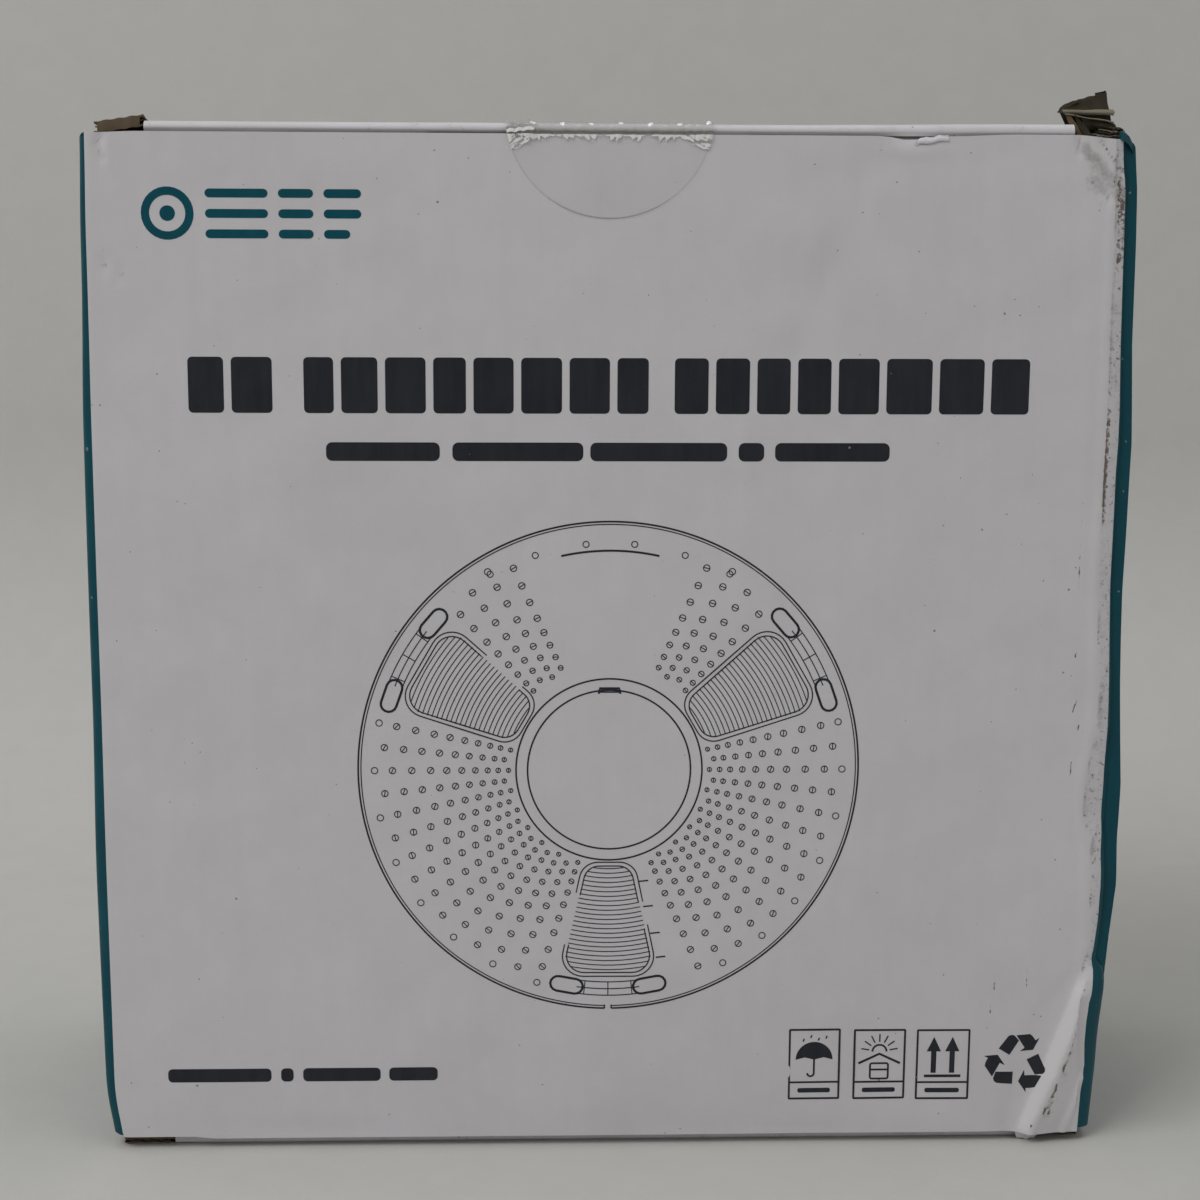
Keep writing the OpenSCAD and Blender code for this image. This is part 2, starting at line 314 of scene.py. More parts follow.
def addBoard(mesh, us, vs, place, thick=None, raw="", fluted="", marks=None):
    # raw and fluted list sides as the letters l r b t: first and last u, first and last v
    thick = board if thick is None else thick
    u, v = np.meshgrid(us, vs, indexing="ij")
    outer = place(u, v, np.zeros_like(u))
    inner = place(u, v, np.full_like(u, thick))
    wear, grimeAndShading = marks(u, v) if marks else (np.zeros_like(u), np.zeros_like(u))
    nu, nv = u.shape
    first = addPoints(mesh, outer, wear, grimeAndShading)
    second = addPoints(mesh, inner)
    for i in range(nu - 1):
        for j in range(nv - 1):
            a, b = i * nv + j, (i + 1) * nv + j
            addFace(mesh, (first + a, first + b, first + b + 1, first + a + 1), 0)
            addFace(mesh, (second + a, second + a + 1, second + b + 1, second + b), 1)
    loop = rimLoop(nu, nv)
    open_ = set(raw + fluted)
    inward = np.zeros((nu, nv, 3))
    for i, j in set(loop):
        di = ("l" in open_) * (i == 0) - ("r" in open_) * (i == nu - 1)
        dj = ("b" in open_) * (j == 0) - ("t" in open_) * (j == nv - 1)
        if di or dj:
            way = outer[i + di, j + dj] - outer[i, j]
            reach = boardSet["cornerReach"] if di and dj else 1
            inward[i, j] = way / max(np.linalg.norm(way), 1e-6) * reach
    li = np.array([p[0] for p in loop])
    lj = np.array([p[1] for p in loop])
    edgeOut, edgeIn, way = outer[li, lj], inner[li, lj], inward[li, lj]
    share = boardSet["liner"] / board
    deep = way * boardSet["grooveDepth"]
    ring1 = edgeOut + (edgeIn - edgeOut) * share
    ring4 = edgeOut + (edgeIn - edgeOut) * (1 - share)
    layers = [ring1, ring1 + deep, ring4 + deep, ring4]
    starts = [addPoints(mesh, ring) for ring in layers]
    count = len(loop)
    order = [first + li * nv + lj] + [s + np.arange(count) for s in starts] + [second + li * nv + lj]
    for ringA, ringB in zip(order, order[1:]):
        for k in range(count):
            n = (k + 1) % count
            addFace(mesh, (ringA[k], ringA[n], ringB[n], ringB[k]), 1)
    whole = slice(None)
    sides = {"l": (0, whole), "r": (nu - 1, whole), "b": (whole, 0), "t": (whole, nv - 1)}
    for side in raw + fluted:
        pick = sides[side]
        pitch = boardSet["flutePitch"] if side in fluted else 0
        addFlute(mesh, outer[pick], inner[pick], inward[pick], pitch)


# Shader groups and materials

def put(tree, kind, inputs=None, **settings):
    node = tree.nodes.new(kind)
    for key, value in settings.items():
        setattr(node, key, value)
    for key, value in (inputs or {}).items():
        if isinstance(value, bpy.types.NodeSocket):
            tree.links.new(value, node.inputs[key])
        else:
            node.inputs[key].default_value = value
    return node


def calc(tree, operation, a, b=0.0, clamp=False, added=0.0):
    inputs = {0: a, 1: b, 2: added}
    return put(tree, "ShaderNodeMath", inputs, operation=operation, use_clamp=clamp).outputs[0]


def blendColour(tree, factor, a, b):
    return put(tree, "ShaderNodeMix", {0: factor, 6: a, 7: b}, data_type="RGBA").outputs[2]


def remap(tree, value, low, high, toLow=0.0, toHigh=1.0):
    inputs = {"Value": value, "From Min": low, "From Max": high, "To Min": toLow, "To Max": toHigh}
    return put(tree, "ShaderNodeMapRange", inputs).outputs["Result"]


def noise(tree, place, scale, detail=3.0, rough=0.55):
    inputs = {"Vector": place, "Scale": scale, "Detail": detail, "Roughness": rough}
    return put(tree, "ShaderNodeTexNoise", inputs).outputs["Fac"]


def makeGroup(name, numbers, outputs, build):
    # a group that takes a place and some numbers
    tree = bpy.data.node_groups.new(name, "ShaderNodeTree")
    tree.interface.new_socket("Vector", in_out="INPUT", socket_type="NodeSocketVector")
    for label, value in numbers.items():
        socket = tree.interface.new_socket(label, in_out="INPUT", socket_type="NodeSocketFloat")
        socket.default_value = value
    for label in outputs:
        tree.interface.new_socket(label, in_out="OUTPUT", socket_type="NodeSocketFloat")
    entry = tree.nodes.new("NodeGroupInput")
    leave = tree.nodes.new("NodeGroupOutput")
    results = build(tree, entry.outputs)
    for label, value in results.items():
        tree.links.new(value, leave.inputs[label])
    return tree


def useGroup(tree, group, inputs):
    return put(tree, "ShaderNodeGroup", inputs, node_tree=group).outputs


def markOf(tree, name):
    # a mark that the mesh carries on its points
    return put(tree, "ShaderNodeAttribute", attribute_name=name).outputs["Fac"]


def addBump(tree, shader, strength, distance, height):
    bump = put(tree, "ShaderNodeBump", {"Strength": strength, "Distance": distance, "Height": height})
    tree.links.new(bump.outputs[0], shader.inputs["Normal"])


def buildGrain(tree, given):
    fine = noise(tree, given["Vector"], 1400.0, 4.0, 0.6)
    broad = noise(tree, given["Vector"], 90.0, 4.0, 0.6)
    size = calc(tree, "MULTIPLY", fine, given["Strength"])
    return {"Height": size, "Mottle": broad}


def buildFlutes(tree, given):
    wave = put(tree, "ShaderNodeTexWave", {
        "Vector": given["Vector"],
        "Scale": given["Per Metre"],
        "Distortion": 0.6,
        "Detail": 1.0,
        "Detail Scale": 0.4,
    }, wave_type="BANDS", bands_direction="X")
    return {"Height": wave.outputs["Fac"]}


def buildSpecks(tree, given):
    shake = put(tree, "ShaderNodeTexNoise", {"Vector": given["Vector"], "Scale": 2600.0, "Detail": 2.0})
    shift = put(tree, "ShaderNodeVectorMath", {0: shake.outputs["Color"], 1: (0.0005, 0.0005, 0.0005)},
                operation="MULTIPLY")
    moved = put(tree, "ShaderNodeVectorMath", {0: given["Vector"], 1: shift.outputs[0]}, operation="ADD")
    cells = put(tree, "ShaderNodeTexVoronoi", {
        "Vector": moved.outputs[0],
        "Scale": given["Per Metre"],
        "Randomness": 1.0,
    })
    picked = put(tree, "ShaderNodeSeparateColor", {"Color": cells.outputs["Color"]})
    chosen = calc(tree, "LESS_THAN", picked.outputs[0], given["Share"])
    size = calc(tree, "MULTIPLY_ADD", picked.outputs[1], 0.13, added=0.03)
    near = calc(tree, "LESS_THAN", cells.outputs["Distance"], size)
    return {"Mask": calc(tree, "MULTIPLY", chosen, near)}


def buildStains(tree, given):
    cloud = noise(tree, given["Vector"], given["Per Metre"], 5.0, 0.62)
    return {"Mask": remap(tree, cloud, given["Start"], 0.78)}


def buildMark(tree, given):
    # a mark painted on the points, broken up into grit by noise
    grit = noise(tree, given["Vector"], given["Per Metre"], 5.0, 0.7)
    level = calc(tree, "MULTIPLY_ADD", given["Mark"], 1.25, added=-0.12)
    over = calc(tree, "SUBTRACT", level, calc(tree, "MULTIPLY", grit, given["Grit"]))
    return {"Mask": calc(tree, "MULTIPLY", over, given["Bite"], True)}


def buildStreaks(tree, given):
    # long soft fibres, as in kraft paper or brushed film
    stretched = put(tree, "ShaderNodeMapping", {"Vector": given["Vector"], "Scale": (1.0, 0.12, 0.12)})
    return {"Mask": noise(tree, stretched.outputs[0], given["Per Metre"], 3.0, 0.6)}


grainGroup = makeGroup("paperGrain", {"Strength": 1.0}, ["Height", "Mottle"], buildGrain)
fluteGroup = makeGroup("fluteLines", {"Per Metre": 51.0}, ["Height"], buildFlutes)
speckGroup = makeGroup("dirtSpecks", {"Per Metre": 220.0, "Share": 0.1}, ["Mask"], buildSpecks)
stainGroup = makeGroup("oldStains", {"Per Metre": 14.0, "Start": 0.52}, ["Mask"], buildStains)
markGroup = makeGroup(
    "paintedMark", {"Mark": 0.0, "Per Metre": 700.0, "Grit": 1.0, "Bite": 3.0}, ["Mask"], buildMark)
streakGroup = makeGroup("paperStreaks", {"Per Metre": 500.0}, ["Mask"], buildStreaks)


def newMaterial(name):
    material = bpy.data.materials.new(name)
    material.use_nodes = True
    tree = material.node_tree
    shader = tree.nodes["Principled BSDF"]
    place = tree.nodes.new("ShaderNodeTexCoord").outputs["Object"]
    return material, tree, shader, place


def rgba(values):
    return (*values, 1.0)


def boardFinish(name, look):
    material, tree, shader, place = newMaterial(name)
    grain = useGroup(tree, grainGroup, {"Vector": place, "Strength": look["grain"]})
    flutes = useGroup(tree, fluteGroup, {"Vector": place})
    specks = useGroup(tree, speckGroup, {"Vector": place, "Per Metre": 620.0, "Share": look["specks"]})
    bigSpecks = useGroup(tree, speckGroup, {
        "Vector": place, "Per Metre": look["bigSpecks"], "Share": look["specks"] * 0.35})
    stains = useGroup(tree, stainGroup, {"Vector": place})
    streaks = useGroup(tree, streakGroup, {"Vector": place})
    wearMark, grimeAndShadingMark = markOf(tree, "wear"), markOf(tree, "grimeAndShading")
    wear = useGroup(tree, markGroup, {
        "Vector": place, "Mark": wearMark, "Per Metre": 1100.0, "Grit": 1.9, "Bite": 5.0})
    grimeAndShading = useGroup(tree, markGroup, {"Vector": place, "Mark": grimeAndShadingMark, "Grit": 0.8, "Bite": 1.8})
    allSpecks = calc(tree, "MAXIMUM", specks["Mask"], bigSpecks["Mask"])
    worn = calc(tree, "MULTIPLY", wear["Mask"], look["wear"])
    # from the paper up. Where the grime and shading mark is below zero, a painted highlight makes the paper
    # paler; above zero it paints grime, and painted shade where the mesh marks shade
    layers = [
        (remap(tree, grain["Mottle"], 0.3, 0.7), look["mottle"]),
        (remap(tree, streaks["Mask"], 0.35, 0.75, 0.0, look["fibre"]), look["fibreColour"]),
        (calc(tree, "MULTIPLY", stains["Mask"], look["stain"]), look["stainColour"]),
        (calc(tree, "MULTIPLY", grimeAndShadingMark, -1.0, True), look["rubbedColour"]),
        (calc(tree, "MULTIPLY", grimeAndShading["Mask"], look["grimeAndShading"]), look["grimeAndShadeColour"]),
        (calc(tree, "MULTIPLY", allSpecks, 0.75), look["speckColour"]),
        (worn, look["wearColour"]),
    ]
    colour = rgba(look["colour"])
    for share, layer in layers:
        colour = blendColour(tree, share, colour, rgba(layer))
    tree.links.new(colour, shader.inputs["Base Color"])
    rough = remap(tree, grain["Mottle"], 0.3, 0.7, look["rough"] - 0.05, look["rough"] + 0.07)
    rough = calc(tree, "ADD", rough, calc(tree, "MULTIPLY", worn, 0.3), True)
    tree.links.new(rough, shader.inputs["Roughness"])
    height = calc(tree, "MULTIPLY_ADD", flutes["Height"], look["flutes"], added=grain["Height"])
    height = calc(tree, "SUBTRACT", height, calc(tree, "MULTIPLY", wear["Mask"], 0.8))
    addBump(tree, shader, look["bump"], 0.0001, height)
    shader.inputs["Specular IOR Level"].default_value = look["gloss"]
    return material


coatedLook = {
    "colour": (0.70, 0.685, 0.715),
    "mottle": (0.66, 0.645, 0.67),
    "fibre": 0.06,
    "fibreColour": (0.52, 0.50, 0.50),
    "stain": 0.22,
    "stainColour": (0.50, 0.45, 0.42),
    # paler colour for painted highlights, then the strength and colour of grime and painted shade
    "rubbedColour": (0.95, 0.94, 0.97),
    "grimeAndShading": 0.85,
    "grimeAndShadeColour": (0.20, 0.165, 0.135),
    "specks": 0.07,
    "bigSpecks": 330.0,
    "speckColour": (0.16, 0.14, 0.13),
    "wear": 0.92,
    "wearColour": (0.13, 0.095, 0.07),
    "rough": 0.42,
    "grain": 0.5,
    "flutes": 0.7,
    "bump": 0.5,
    "gloss": 0.45,
}
tealLook = dict(
    coatedLook,
    colour=(0.0015, 0.074, 0.102),
    mottle=(0.0015, 0.060, 0.084),
    fibre=0.1,
    fibreColour=(0.02, 0.12, 0.15),
    stain=0.1,
    stainColour=(0.03, 0.08, 0.09),
    grimeAndShading=0.5,
    grimeAndShadeColour=(0.06, 0.075, 0.07),
    speckColour=(0.25, 0.27, 0.26),
    wearColour=(0.36, 0.33, 0.29),
    rough=0.4,
    bump=0.55,
    gloss=0.22,
)
kraftLook = dict(
    coatedLook,
    colour=(0.165, 0.125, 0.078),
    mottle=(0.125, 0.094, 0.058),
    fibre=0.4,
    fibreColour=(0.25, 0.20, 0.13),
    stain=0.25,
    stainColour=(0.08, 0.06, 0.04),
    grimeAndShading=0.5,
    grimeAndShadeColour=(0.06, 0.05, 0.04),
    speckColour=(0.05, 0.035, 0.02),
    wearColour=(0.30, 0.25, 0.18),
    rough=0.78,
    grain=1.0,
    flutes=1.0,
    bump=0.7,
    gloss=0.25,
)
agedLook = dict(
    kraftLook,
    colour=(0.036, 0.029, 0.017),
    mottle=(0.022, 0.017, 0.010),
    fibreColour=(0.075, 0.062, 0.040),
    wear=0.8,
    wearColour=(0.20, 0.165, 0.11),
    grimeAndShading=0.85,
    grimeAndShadeColour=(0.010, 0.008, 0.005),
)
agedLinerLook = dict(
    agedLook,
    colour=(0.23, 0.20, 0.145),
    mottle=(0.15, 0.13, 0.09),
    fibreColour=(0.32, 0.29, 0.22),
    grimeAndShadeColour=(0.06, 0.05, 0.035),
)
brownLook = dict(agedLook, colour=(0.17, 0.105, 0.055), mottle=(0.11, 0.068, 0.035))
linerLook = dict(
    kraftLook,
    colour=(0.36, 0.32, 0.27),
    mottle=(0.28, 0.24, 0.19),
    fibreColour=(0.5, 0.46, 0.4),
)
inkLook = dict(
    coatedLook,
    colour=(0.0145, 0.0165, 0.023),
    mottle=(0.020, 0.022, 0.029),
    fibre=0.25,
    fibreColour=(0.05, 0.052, 0.062),
    stain=0.1,
    stainColour=(0.05, 0.05, 0.05),
    speckColour=(0.3, 0.29, 0.3),
    wearColour=(0.4, 0.39, 0.4),
    rough=0.4,
    flutes=0.0,
    specks=0.03,
    gloss=0.25,
)
tealInkLook = dict(
    inkLook,
    colour=(0.0015, 0.082, 0.115),
    mottle=(0.0015, 0.074, 0.102),
    fibreColour=(0.012, 0.12, 0.155),
    gloss=0.15,
)

coatedBoard = boardFinish("coatedBoard", coatedLook)
tealBoard = boardFinish("tealBoard", tealLook)
kraftBoard = boardFinish("kraftBoard", kraftLook)
tornLiner = boardFinish("tornLiner", linerLook)
agedKraft = boardFinish("agedKraft", agedLook)
agedLiner = boardFinish("agedLiner", agedLinerLook)
brownLiner = boardFinish("brownLiner", brownLook)
inkDark = boardFinish("inkDark", inkLook)
inkTeal = boardFinish("inkTeal", tealInkLook)


filmSet = {
    # colours and alphas of the painted shade on the rim and fold, of the specks, and of the painted glints
    "rimShadeColour": (0.085, 0.055, 0.03),
    "glintColour": (0.97, 0.97, 0.97),
    "speckAlpha": 0.6,
    "glintAlpha": 0.95,
    "rimShadeAlpha": 0.8,
    "coatRough": 0.08,
}


def filmFinish(name, look):
    material, tree, shader, place = newMaterial(name)
    streaks = useGroup(tree, streakGroup, {"Vector": place, "Per Metre": look["streaks"]})
    grain = useGroup(tree, grainGroup, {"Vector": place, "Strength": 1.0})
    specks = useGroup(tree, speckGroup, {"Vector": place, "Per Metre": 260.0, "Share": 0.05})
    # painted glints whiten the film where the wear mark is set, and painted shade darkens its rim and fold
    # line where the grime and shading mark is set
    glintMark, rimAndFoldShade = markOf(tree, "wear"), markOf(tree, "grimeAndShading")
    glint = useGroup(tree, markGroup, {
        "Vector": place, "Mark": glintMark, "Per Metre": 1500.0, "Grit": 1.5, "Bite": 5.0})["Mask"]
    rim = calc(tree, "MULTIPLY", rimAndFoldShade, 0.5, True)
    colour = blendColour(tree, specks["Mask"], rgba(look["colour"]), rgba(look["speckColour"]))
    colour = blendColour(tree, rim, colour, rgba(filmSet["rimShadeColour"]))
    colour = blendColour(tree, glint, colour, rgba(filmSet["glintColour"]))
    tree.links.new(colour, shader.inputs["Base Color"])
    rough = remap(tree, grain["Mottle"], 0.3, 0.7, look["rough"], look["rough"] + 0.1)
    tree.links.new(rough, shader.inputs["Roughness"])
    spread = look["alphaRange"] / 2
    alpha = remap(tree, streaks["Mask"], 0.3, 0.7, look["alpha"] - spread, look["alpha"] + spread)
    for mask, most in ((specks["Mask"], "speckAlpha"), (glint, "glintAlpha"), (rim, "rimShadeAlpha")):
        alpha = calc(tree, "MAXIMUM", alpha, calc(tree, "MULTIPLY", mask, filmSet[most]))
    tree.links.new(alpha, shader.inputs["Alpha"])
    addBump(tree, shader, look["bump"], 0.0002, streaks["Mask"])
    shader.inputs["Specular IOR Level"].default_value = look["gloss"]
    shader.inputs["Coat Weight"].default_value = look["coat"]
    shader.inputs["Coat Roughness"].default_value = filmSet["coatRough"]
    return material


sealFilm = filmFinish("sealFilm", {
    "colour": (0.42, 0.43, 0.38),
    "speckColour": (0.2, 0.18, 0.16),
    "alpha": 0.022,
    "alphaRange": 0.01,
    "rough": 0.16,
    "streaks": 300.0,
    "bump": 0.1,
    "gloss": 0.9,
    "coat": 1.0,
})
bagFilm = filmFinish("bagFilm", {
    "colour": (0.72, 0.74, 0.76),
    "speckColour": (0.5, 0.5, 0.5),
    "alpha": 0.14,
    "alphaRange": 0.1,
    "rough": 0.12,
    "streaks": 200.0,
    "bump": 0.3,
    "gloss": 0.9,
    "coat": 1.0,
})


def plasticFinish(name, look):
    material, tree, shader, place = newMaterial(name)
    grain = useGroup(tree, grainGroup, {"Vector": place, "Strength": 1.0})
    stains = useGroup(tree, stainGroup, {"Vector": place, "Per Metre": 40.0, "Start": 0.45})
    specks = useGroup(tree, speckGroup, {"Vector": place, "Per Metre": 400.0, "Share": 0.04})
    mottle = remap(tree, grain["Mottle"], 0.3, 0.7)
    colour = blendColour(tree, mottle, rgba(look["colour"]), rgba(look["mottle"]))
    colour = blendColour(tree, calc(tree, "MULTIPLY", specks["Mask"], 0.5), colour, rgba(look["dust"]))
    tree.links.new(colour, shader.inputs["Base Color"])
    rough = remap(tree, stains["Mask"], 0.0, 1.0, look["rough"], look["rough"] + 0.12)
    tree.links.new(rough, shader.inputs["Roughness"])
    addBump(tree, shader, look["bump"], 0.0001, grain["Height"])
    return material


spoolPlastic = plasticFinish("spoolPlastic", {
    "colour": (0.018, 0.018, 0.019),
    "mottle": (0.024, 0.024, 0.026),
    "dust": (0.3, 0.3, 0.3),
    "rough": 0.38,
    "bump": 0.35,
})
filamentPlastic = plasticFinish("filamentPlastic", {
    "colour": (0.80, 0.78, 0.72),
    "mottle": (0.74, 0.72, 0.66),
    "dust": (0.5, 0.5, 0.48),
    "rough": 0.3,
    "bump": 0.12,
})
sachetPaper = plasticFinish("sachetPaper", {
    "colour": (0.82, 0.82, 0.80),
    "mottle": (0.74, 0.74, 0.73),
    "dust": (0.55, 0.56, 0.58),
    "rough": 0.7,
    "bump": 1.0,
})
print("materials done")


# The carton's blank. s runs round it from the middle of the front, z is the height, and h the
# depth below the outside face.

sleeveSet = {
    "bulge": 0.75,
    "sideBulge": 0.9,
    "backBulge": 0.6,
    "whiteTurn": 16,
    "creaseTilt": 0.42,
    "cornerStep": 2.15,
    "glueFlap": 19.0,
    "glueTaper": 6.0,
    "creaseFrom": 80,
    "cornerFrom": 70,
    "bandTop": 41,
    "edgeX": 101.8,
}
frontWaves = makeWaves(7, 45, 150, 0.07)
smallWaves = makeWaves(8, 14, 34, 0.022)
sideWaves = makeWaves(6, 40, 110, 0.09)
backWaves = makeWaves(7, 45, 150, 0.09)

# creases and dents, as (x, z) on the front
rightCrease = [
    (100.1, 207.0), (100.1, 196.3), (99.9, 184.6), (100.1, 166.9), (100.3, 148.9), (100.1, 136.8),
    (99.7, 120.5), (100.2, 108.1), (100.7, 95.6), (100.6, 89.9), (99.2, 80.8), (98.7, 71.2),
    (100.6, 66.0), (100.9, 59.4), (100.8, 52.9), (101.1, 42.1), (100.1, 39.4),
]
bandLeft = [(100.9, 41.0), (95.6, 26.7), (91.6, 15.7), (86.6, 1.0)]
bandRight = [(102.6, 41.0), (100.0, 28.9), (96.2, 17.8), (89.4, 1.0)]
innerLine = [(95.6, 195.0), (95.4, 160.0), (95.7, 130.0), (95.5, 108.0)]
innerStrokes = [
    [(96.2, 106.5), (95.4, 103.5)], [(95.9, 100.6), (95.2, 98.2)], [(96.4, 95.6), (95.3, 92.0)],
    [(97.2, 90.2), (95.4, 86.6)], [(95.9, 82.5), (95.7, 79.5)], [(95.6, 73.7), (94.7, 72.5)],
    [(95.7, 122.5), (95.6, 121.0)], [(95.4, 115.5), (95.4, 114.0)],
]
scuffs = [
    [(97.8, 20.4), (97.6, 19.4)], [(96.9, 18.2), (96.4, 16.4), (96.8, 15.2)],
    [(95.3, 13.3), (94.9, 11.6), (94.2, 10.2)], [(94.3, 9.0), (93.4, 7.8)], [(93.9, 7.0), (93.5, 5.6)],
    [(92.9, 8.0), (92.6, 6.4)],
]
fineLine = [(101.3, 34.2), (100.1, 29.3), (99.3, 26.5), (98.5, 23.2), (97.7, 20.1)]
# spots as middle, half width and half height
cornerDirt = [
    (100.9, 192.0, 0.5, 2.6), (100.7, 185.0, 0.4, 2.0), (100.5, 199.4, 0.8, 0.5),
    (101.2, 196.4, 0.5, 1.3),
]
topWrinkles = [
    [(96.6, 207.2), (98.8, 204.4), (101.2, 201.6)], [(95.4, 204.4), (98.0, 201.4), (101.0, 199.2)],
    [(95.0, 199.6), (98.4, 196.6)], [(91.8, 207.6), (92.3, 205.2)],
]
leftWrinkles = [[(-98.2, 207.7), (-99.5, 205.6), (-98.4, 203.0)], [(-100.2, 183.6), (-93.6, 179.8)]]
standingScuffs = [
    [(48.3, 111.0), (48.1, 105.0)], [(57.1, 110.0), (57.0, 107.0)],
    [(88.4, 37.8), (88.0, 30.0)], [(81.7, 35.6), (80.4, 24.6)],
]
bottomCrack = [(16.3, 5.6), (16.4, 2.1)]
secondStrip = [(101.6, 14.2), (99.6, 8.0), (97.2, 2.2)]
secondShine = [(101.2, 14.2), (99.2, 8.0), (96.8, 2.2)]
longCrease = [(51.5, 203.0), (37.5, 166.0)]
cornerSmear = [(93.0, 205.5), (101.4, 197.5)]
bandSmear = [(95.0, 12.5), (91.0, 2.8)]


def along(s, z, lines, wide):
    # 1 on any of the lines, falling off beside them
    return np.maximum.reduce([np.exp(-(nearLine(s, z, line) / wide) ** 2) for line in lines])


def lineX(z, line):
    heights = [p[1] for p in line][::-1]
    return np.interp(z, heights, [p[0] for p in line][::-1])


def bandShare(s, z):
    left, right = lineX(z, bandLeft), lineX(z, bandRight)
    return (s - left) / (right - left)


def frontRelief(s, z):
    # how far the front stands out from its plane
    side = np.abs(s) / (flatX + quarter)
    inside = ease((1 - side) * 9) * ease((z - panelBottom) / 9) * ease((panelTop - z) / 9)
    height = (z - boxH / 2) / (boxH / 2)
    out = sleeveSet["bulge"] * np.clip(1 - side ** 2, 0, 1) * np.clip(1 - height ** 2, 0, 1)
    out = out + inside * (ripple(frontWaves, s, z) + ripple(smallWaves, s, z))
    crease = lineX(z, rightCrease)
    aboveBand = ease((z - 36) / 6)
    nearCrease = s > sleeveSet["creaseFrom"]
    nearCorner = s > sleeveSet["cornerFrom"]
    past = np.clip(s - crease, 0, 3.4) * nearCrease
    out = out - sleeveSet["creaseTilt"] * past * aboveBand
    out = out + 0.16 * np.exp(-((s - crease + 0.9) / 0.9) ** 2) * aboveBand * nearCrease
    share = bandShare(s, z)
    fade = ease((sleeveSet["bandTop"] - z) / 9)
    settle = 1 - ease((s - flatX) / quarter)
    ramp = np.minimum(0.5 * (share + np.sqrt(share ** 2 + 0.02)), 1)
    out = out + sleeveSet["cornerStep"] * ramp * fade * settle * nearCorner
    out = out - 0.22 * np.exp(-((share + 0.9) / 0.8) ** 2) * fade * nearCorner
    out = out - 0.24 * np.clip(s - lineX(z, bandRight), 0, 7) * fade * settle * nearCorner
    out = out + 0.5 * along(s, z, [secondStrip], 0.75)
    out = out - 0.3 * along(s, z, [longCrease], 3.2)
    for wrinkles, deep, wide in ((topWrinkles, 0.5, 0.55), (leftWrinkles, 0.42, 0.6)):
        for wrinkle in wrinkles:
            out = out - deep * along(s, z, [wrinkle], wide)
    out = out - 0.9 * swell(s, z, 60.2, 208.6, 3.4, 1.6) + 0.28 * swell(s, z, 60.2, 205.4, 5.0, 1.4)
    out = out - 0.25 * along(s, z, [bottomCrack], 0.35)
    out = out - 0.2 * swell(s, z, -60, 4, 18, 2.2) - 0.16 * swell(s, z, 42, 3, 14, 2.0)
    return out


def sideSpan(s):
    # where the flat side between its two folds starts and ends
    rear = np.where(s > 0, halfD, leftRear)
    sideStart = flatX + quarter
    return sideStart, sideStart + rear + halfD - 2 * foldR


def relief(s, z):
    run = np.abs(s)
    sideStart, sideEnd = sideSpan(s)
    back = sideEnd + quarter
    onFront = run < sideStart
    onSide = (run >= sideStart) & (run < sideEnd)
    ends = ease((z - 4) / 14) * ease((boxH - 4 - z) / 14)
    middle = np.clip((run - sideStart) / (sideEnd - sideStart), 0, 1)
    sideWavy = ripple(sideWaves, run, z) * ease(6 * middle * (1 - middle))
    sideOut = (sleeveSet["sideBulge"] * np.sin(math.pi * middle) + sideWavy) * ends
    backMiddle = np.clip((run - back) / (flatX + halfW), 0, 1)
    backWavy = ripple(backWaves, run, z) * ease(8 * backMiddle * (1 - backMiddle))
    backOut = np.sin(math.pi * backMiddle) * sleeveSet["backBulge"] + backWavy
    out = np.where(onFront, frontRelief(s, z), 0.0)
    out = np.where(onSide, sideOut, out)
    return np.where((run >= back) & (s > 0), backOut * ends, out)


# how far the right side bows out, and how far the front's edge beside it strays, at each height
sideBow = np.array([
    (0, -0.2), (12, 0.65), (23, 1.3), (34, 1.9), (45, 2.6), (56, 3.7), (66, 3.4), (77, 3.6),
    (87, 3.0), (98, 2.4), (108, 2.1), (118, 1.95), (128, 2.2), (148, 2.5), (168, 1.6), (188, 1.45),
    (198, 1.2), (207, 0.5),
])
edgeStray = np.array([
    (11, -0.2), (17, 0), (22, -0.75), (27, -1.15), (31, -1.2), (38, 0.3), (43, 0.2), (48, 0),
    (53, -0.35), (58, -0.4), (64, -0.6), (70, -0.15), (100, 0.15), (135, -0.3), (142, -0.4),
    (155, -0.1), (185, -0.3), (199, -0.45), (203, -0.8), (206, -0.9),
])


def shove(points):
    # sideways give of the upright folds
    x, y, z = points[..., 0], points[..., 1], points[..., 2]
    edgeX = sleeveSet["edgeX"]
    bow = np.interp(z, sideBow[:, 0], sideBow[:, 1])
    towardFront = ease((20 - y) / 50)
    right = bow * ease((x - 99.6) / 4.4) * towardFront
    leftEdge = ease((-x - 101) / 2.5)
    outer = leftEdge * towardFront
    left = -0.8 * np.sin(np.clip(z / boxH, 0, 1) * math.pi) * leftEdge * towardFront
    left = left + (0.45 * ease((z - 150) / 30) - 0.62 * ease((96 - z) / 40)) * outer
    left = left + 0.25 * ease((z - 188) / 20) * ease((-x - 96) / 7) * towardFront
    slide = -1.5 * ease((54 - z) / 20) * np.exp(-((x - edgeX) / 1.3) ** 2) * ease((-34 - y) / 3)
    window = np.where(x < edgeX, 2.4, 1.3)
    stray = np.interp(z, edgeStray[:, 0], edgeStray[:, 1])
    edge = stray * np.exp(-((x - edgeX) / window) ** 2) * ease((-33 - y) / 3)
    crushed = 1.5 * ease((17 - z) / 17) ** 1.5 + 1.0 * ease((3.4 - z) / 3.4)
    crushed = crushed * ease((-x - 90) / 12) * ease((-12 - y) / 20)
    moved = points.copy()
    shoulder = -0.5 * np.clip(z - 206.4, 0, 3) ** 2 * ease((x - 101.6) / 1.6) * towardFront
    moved[..., 0] = x + right + left + slide + edge + crushed + shoulder
    return moved


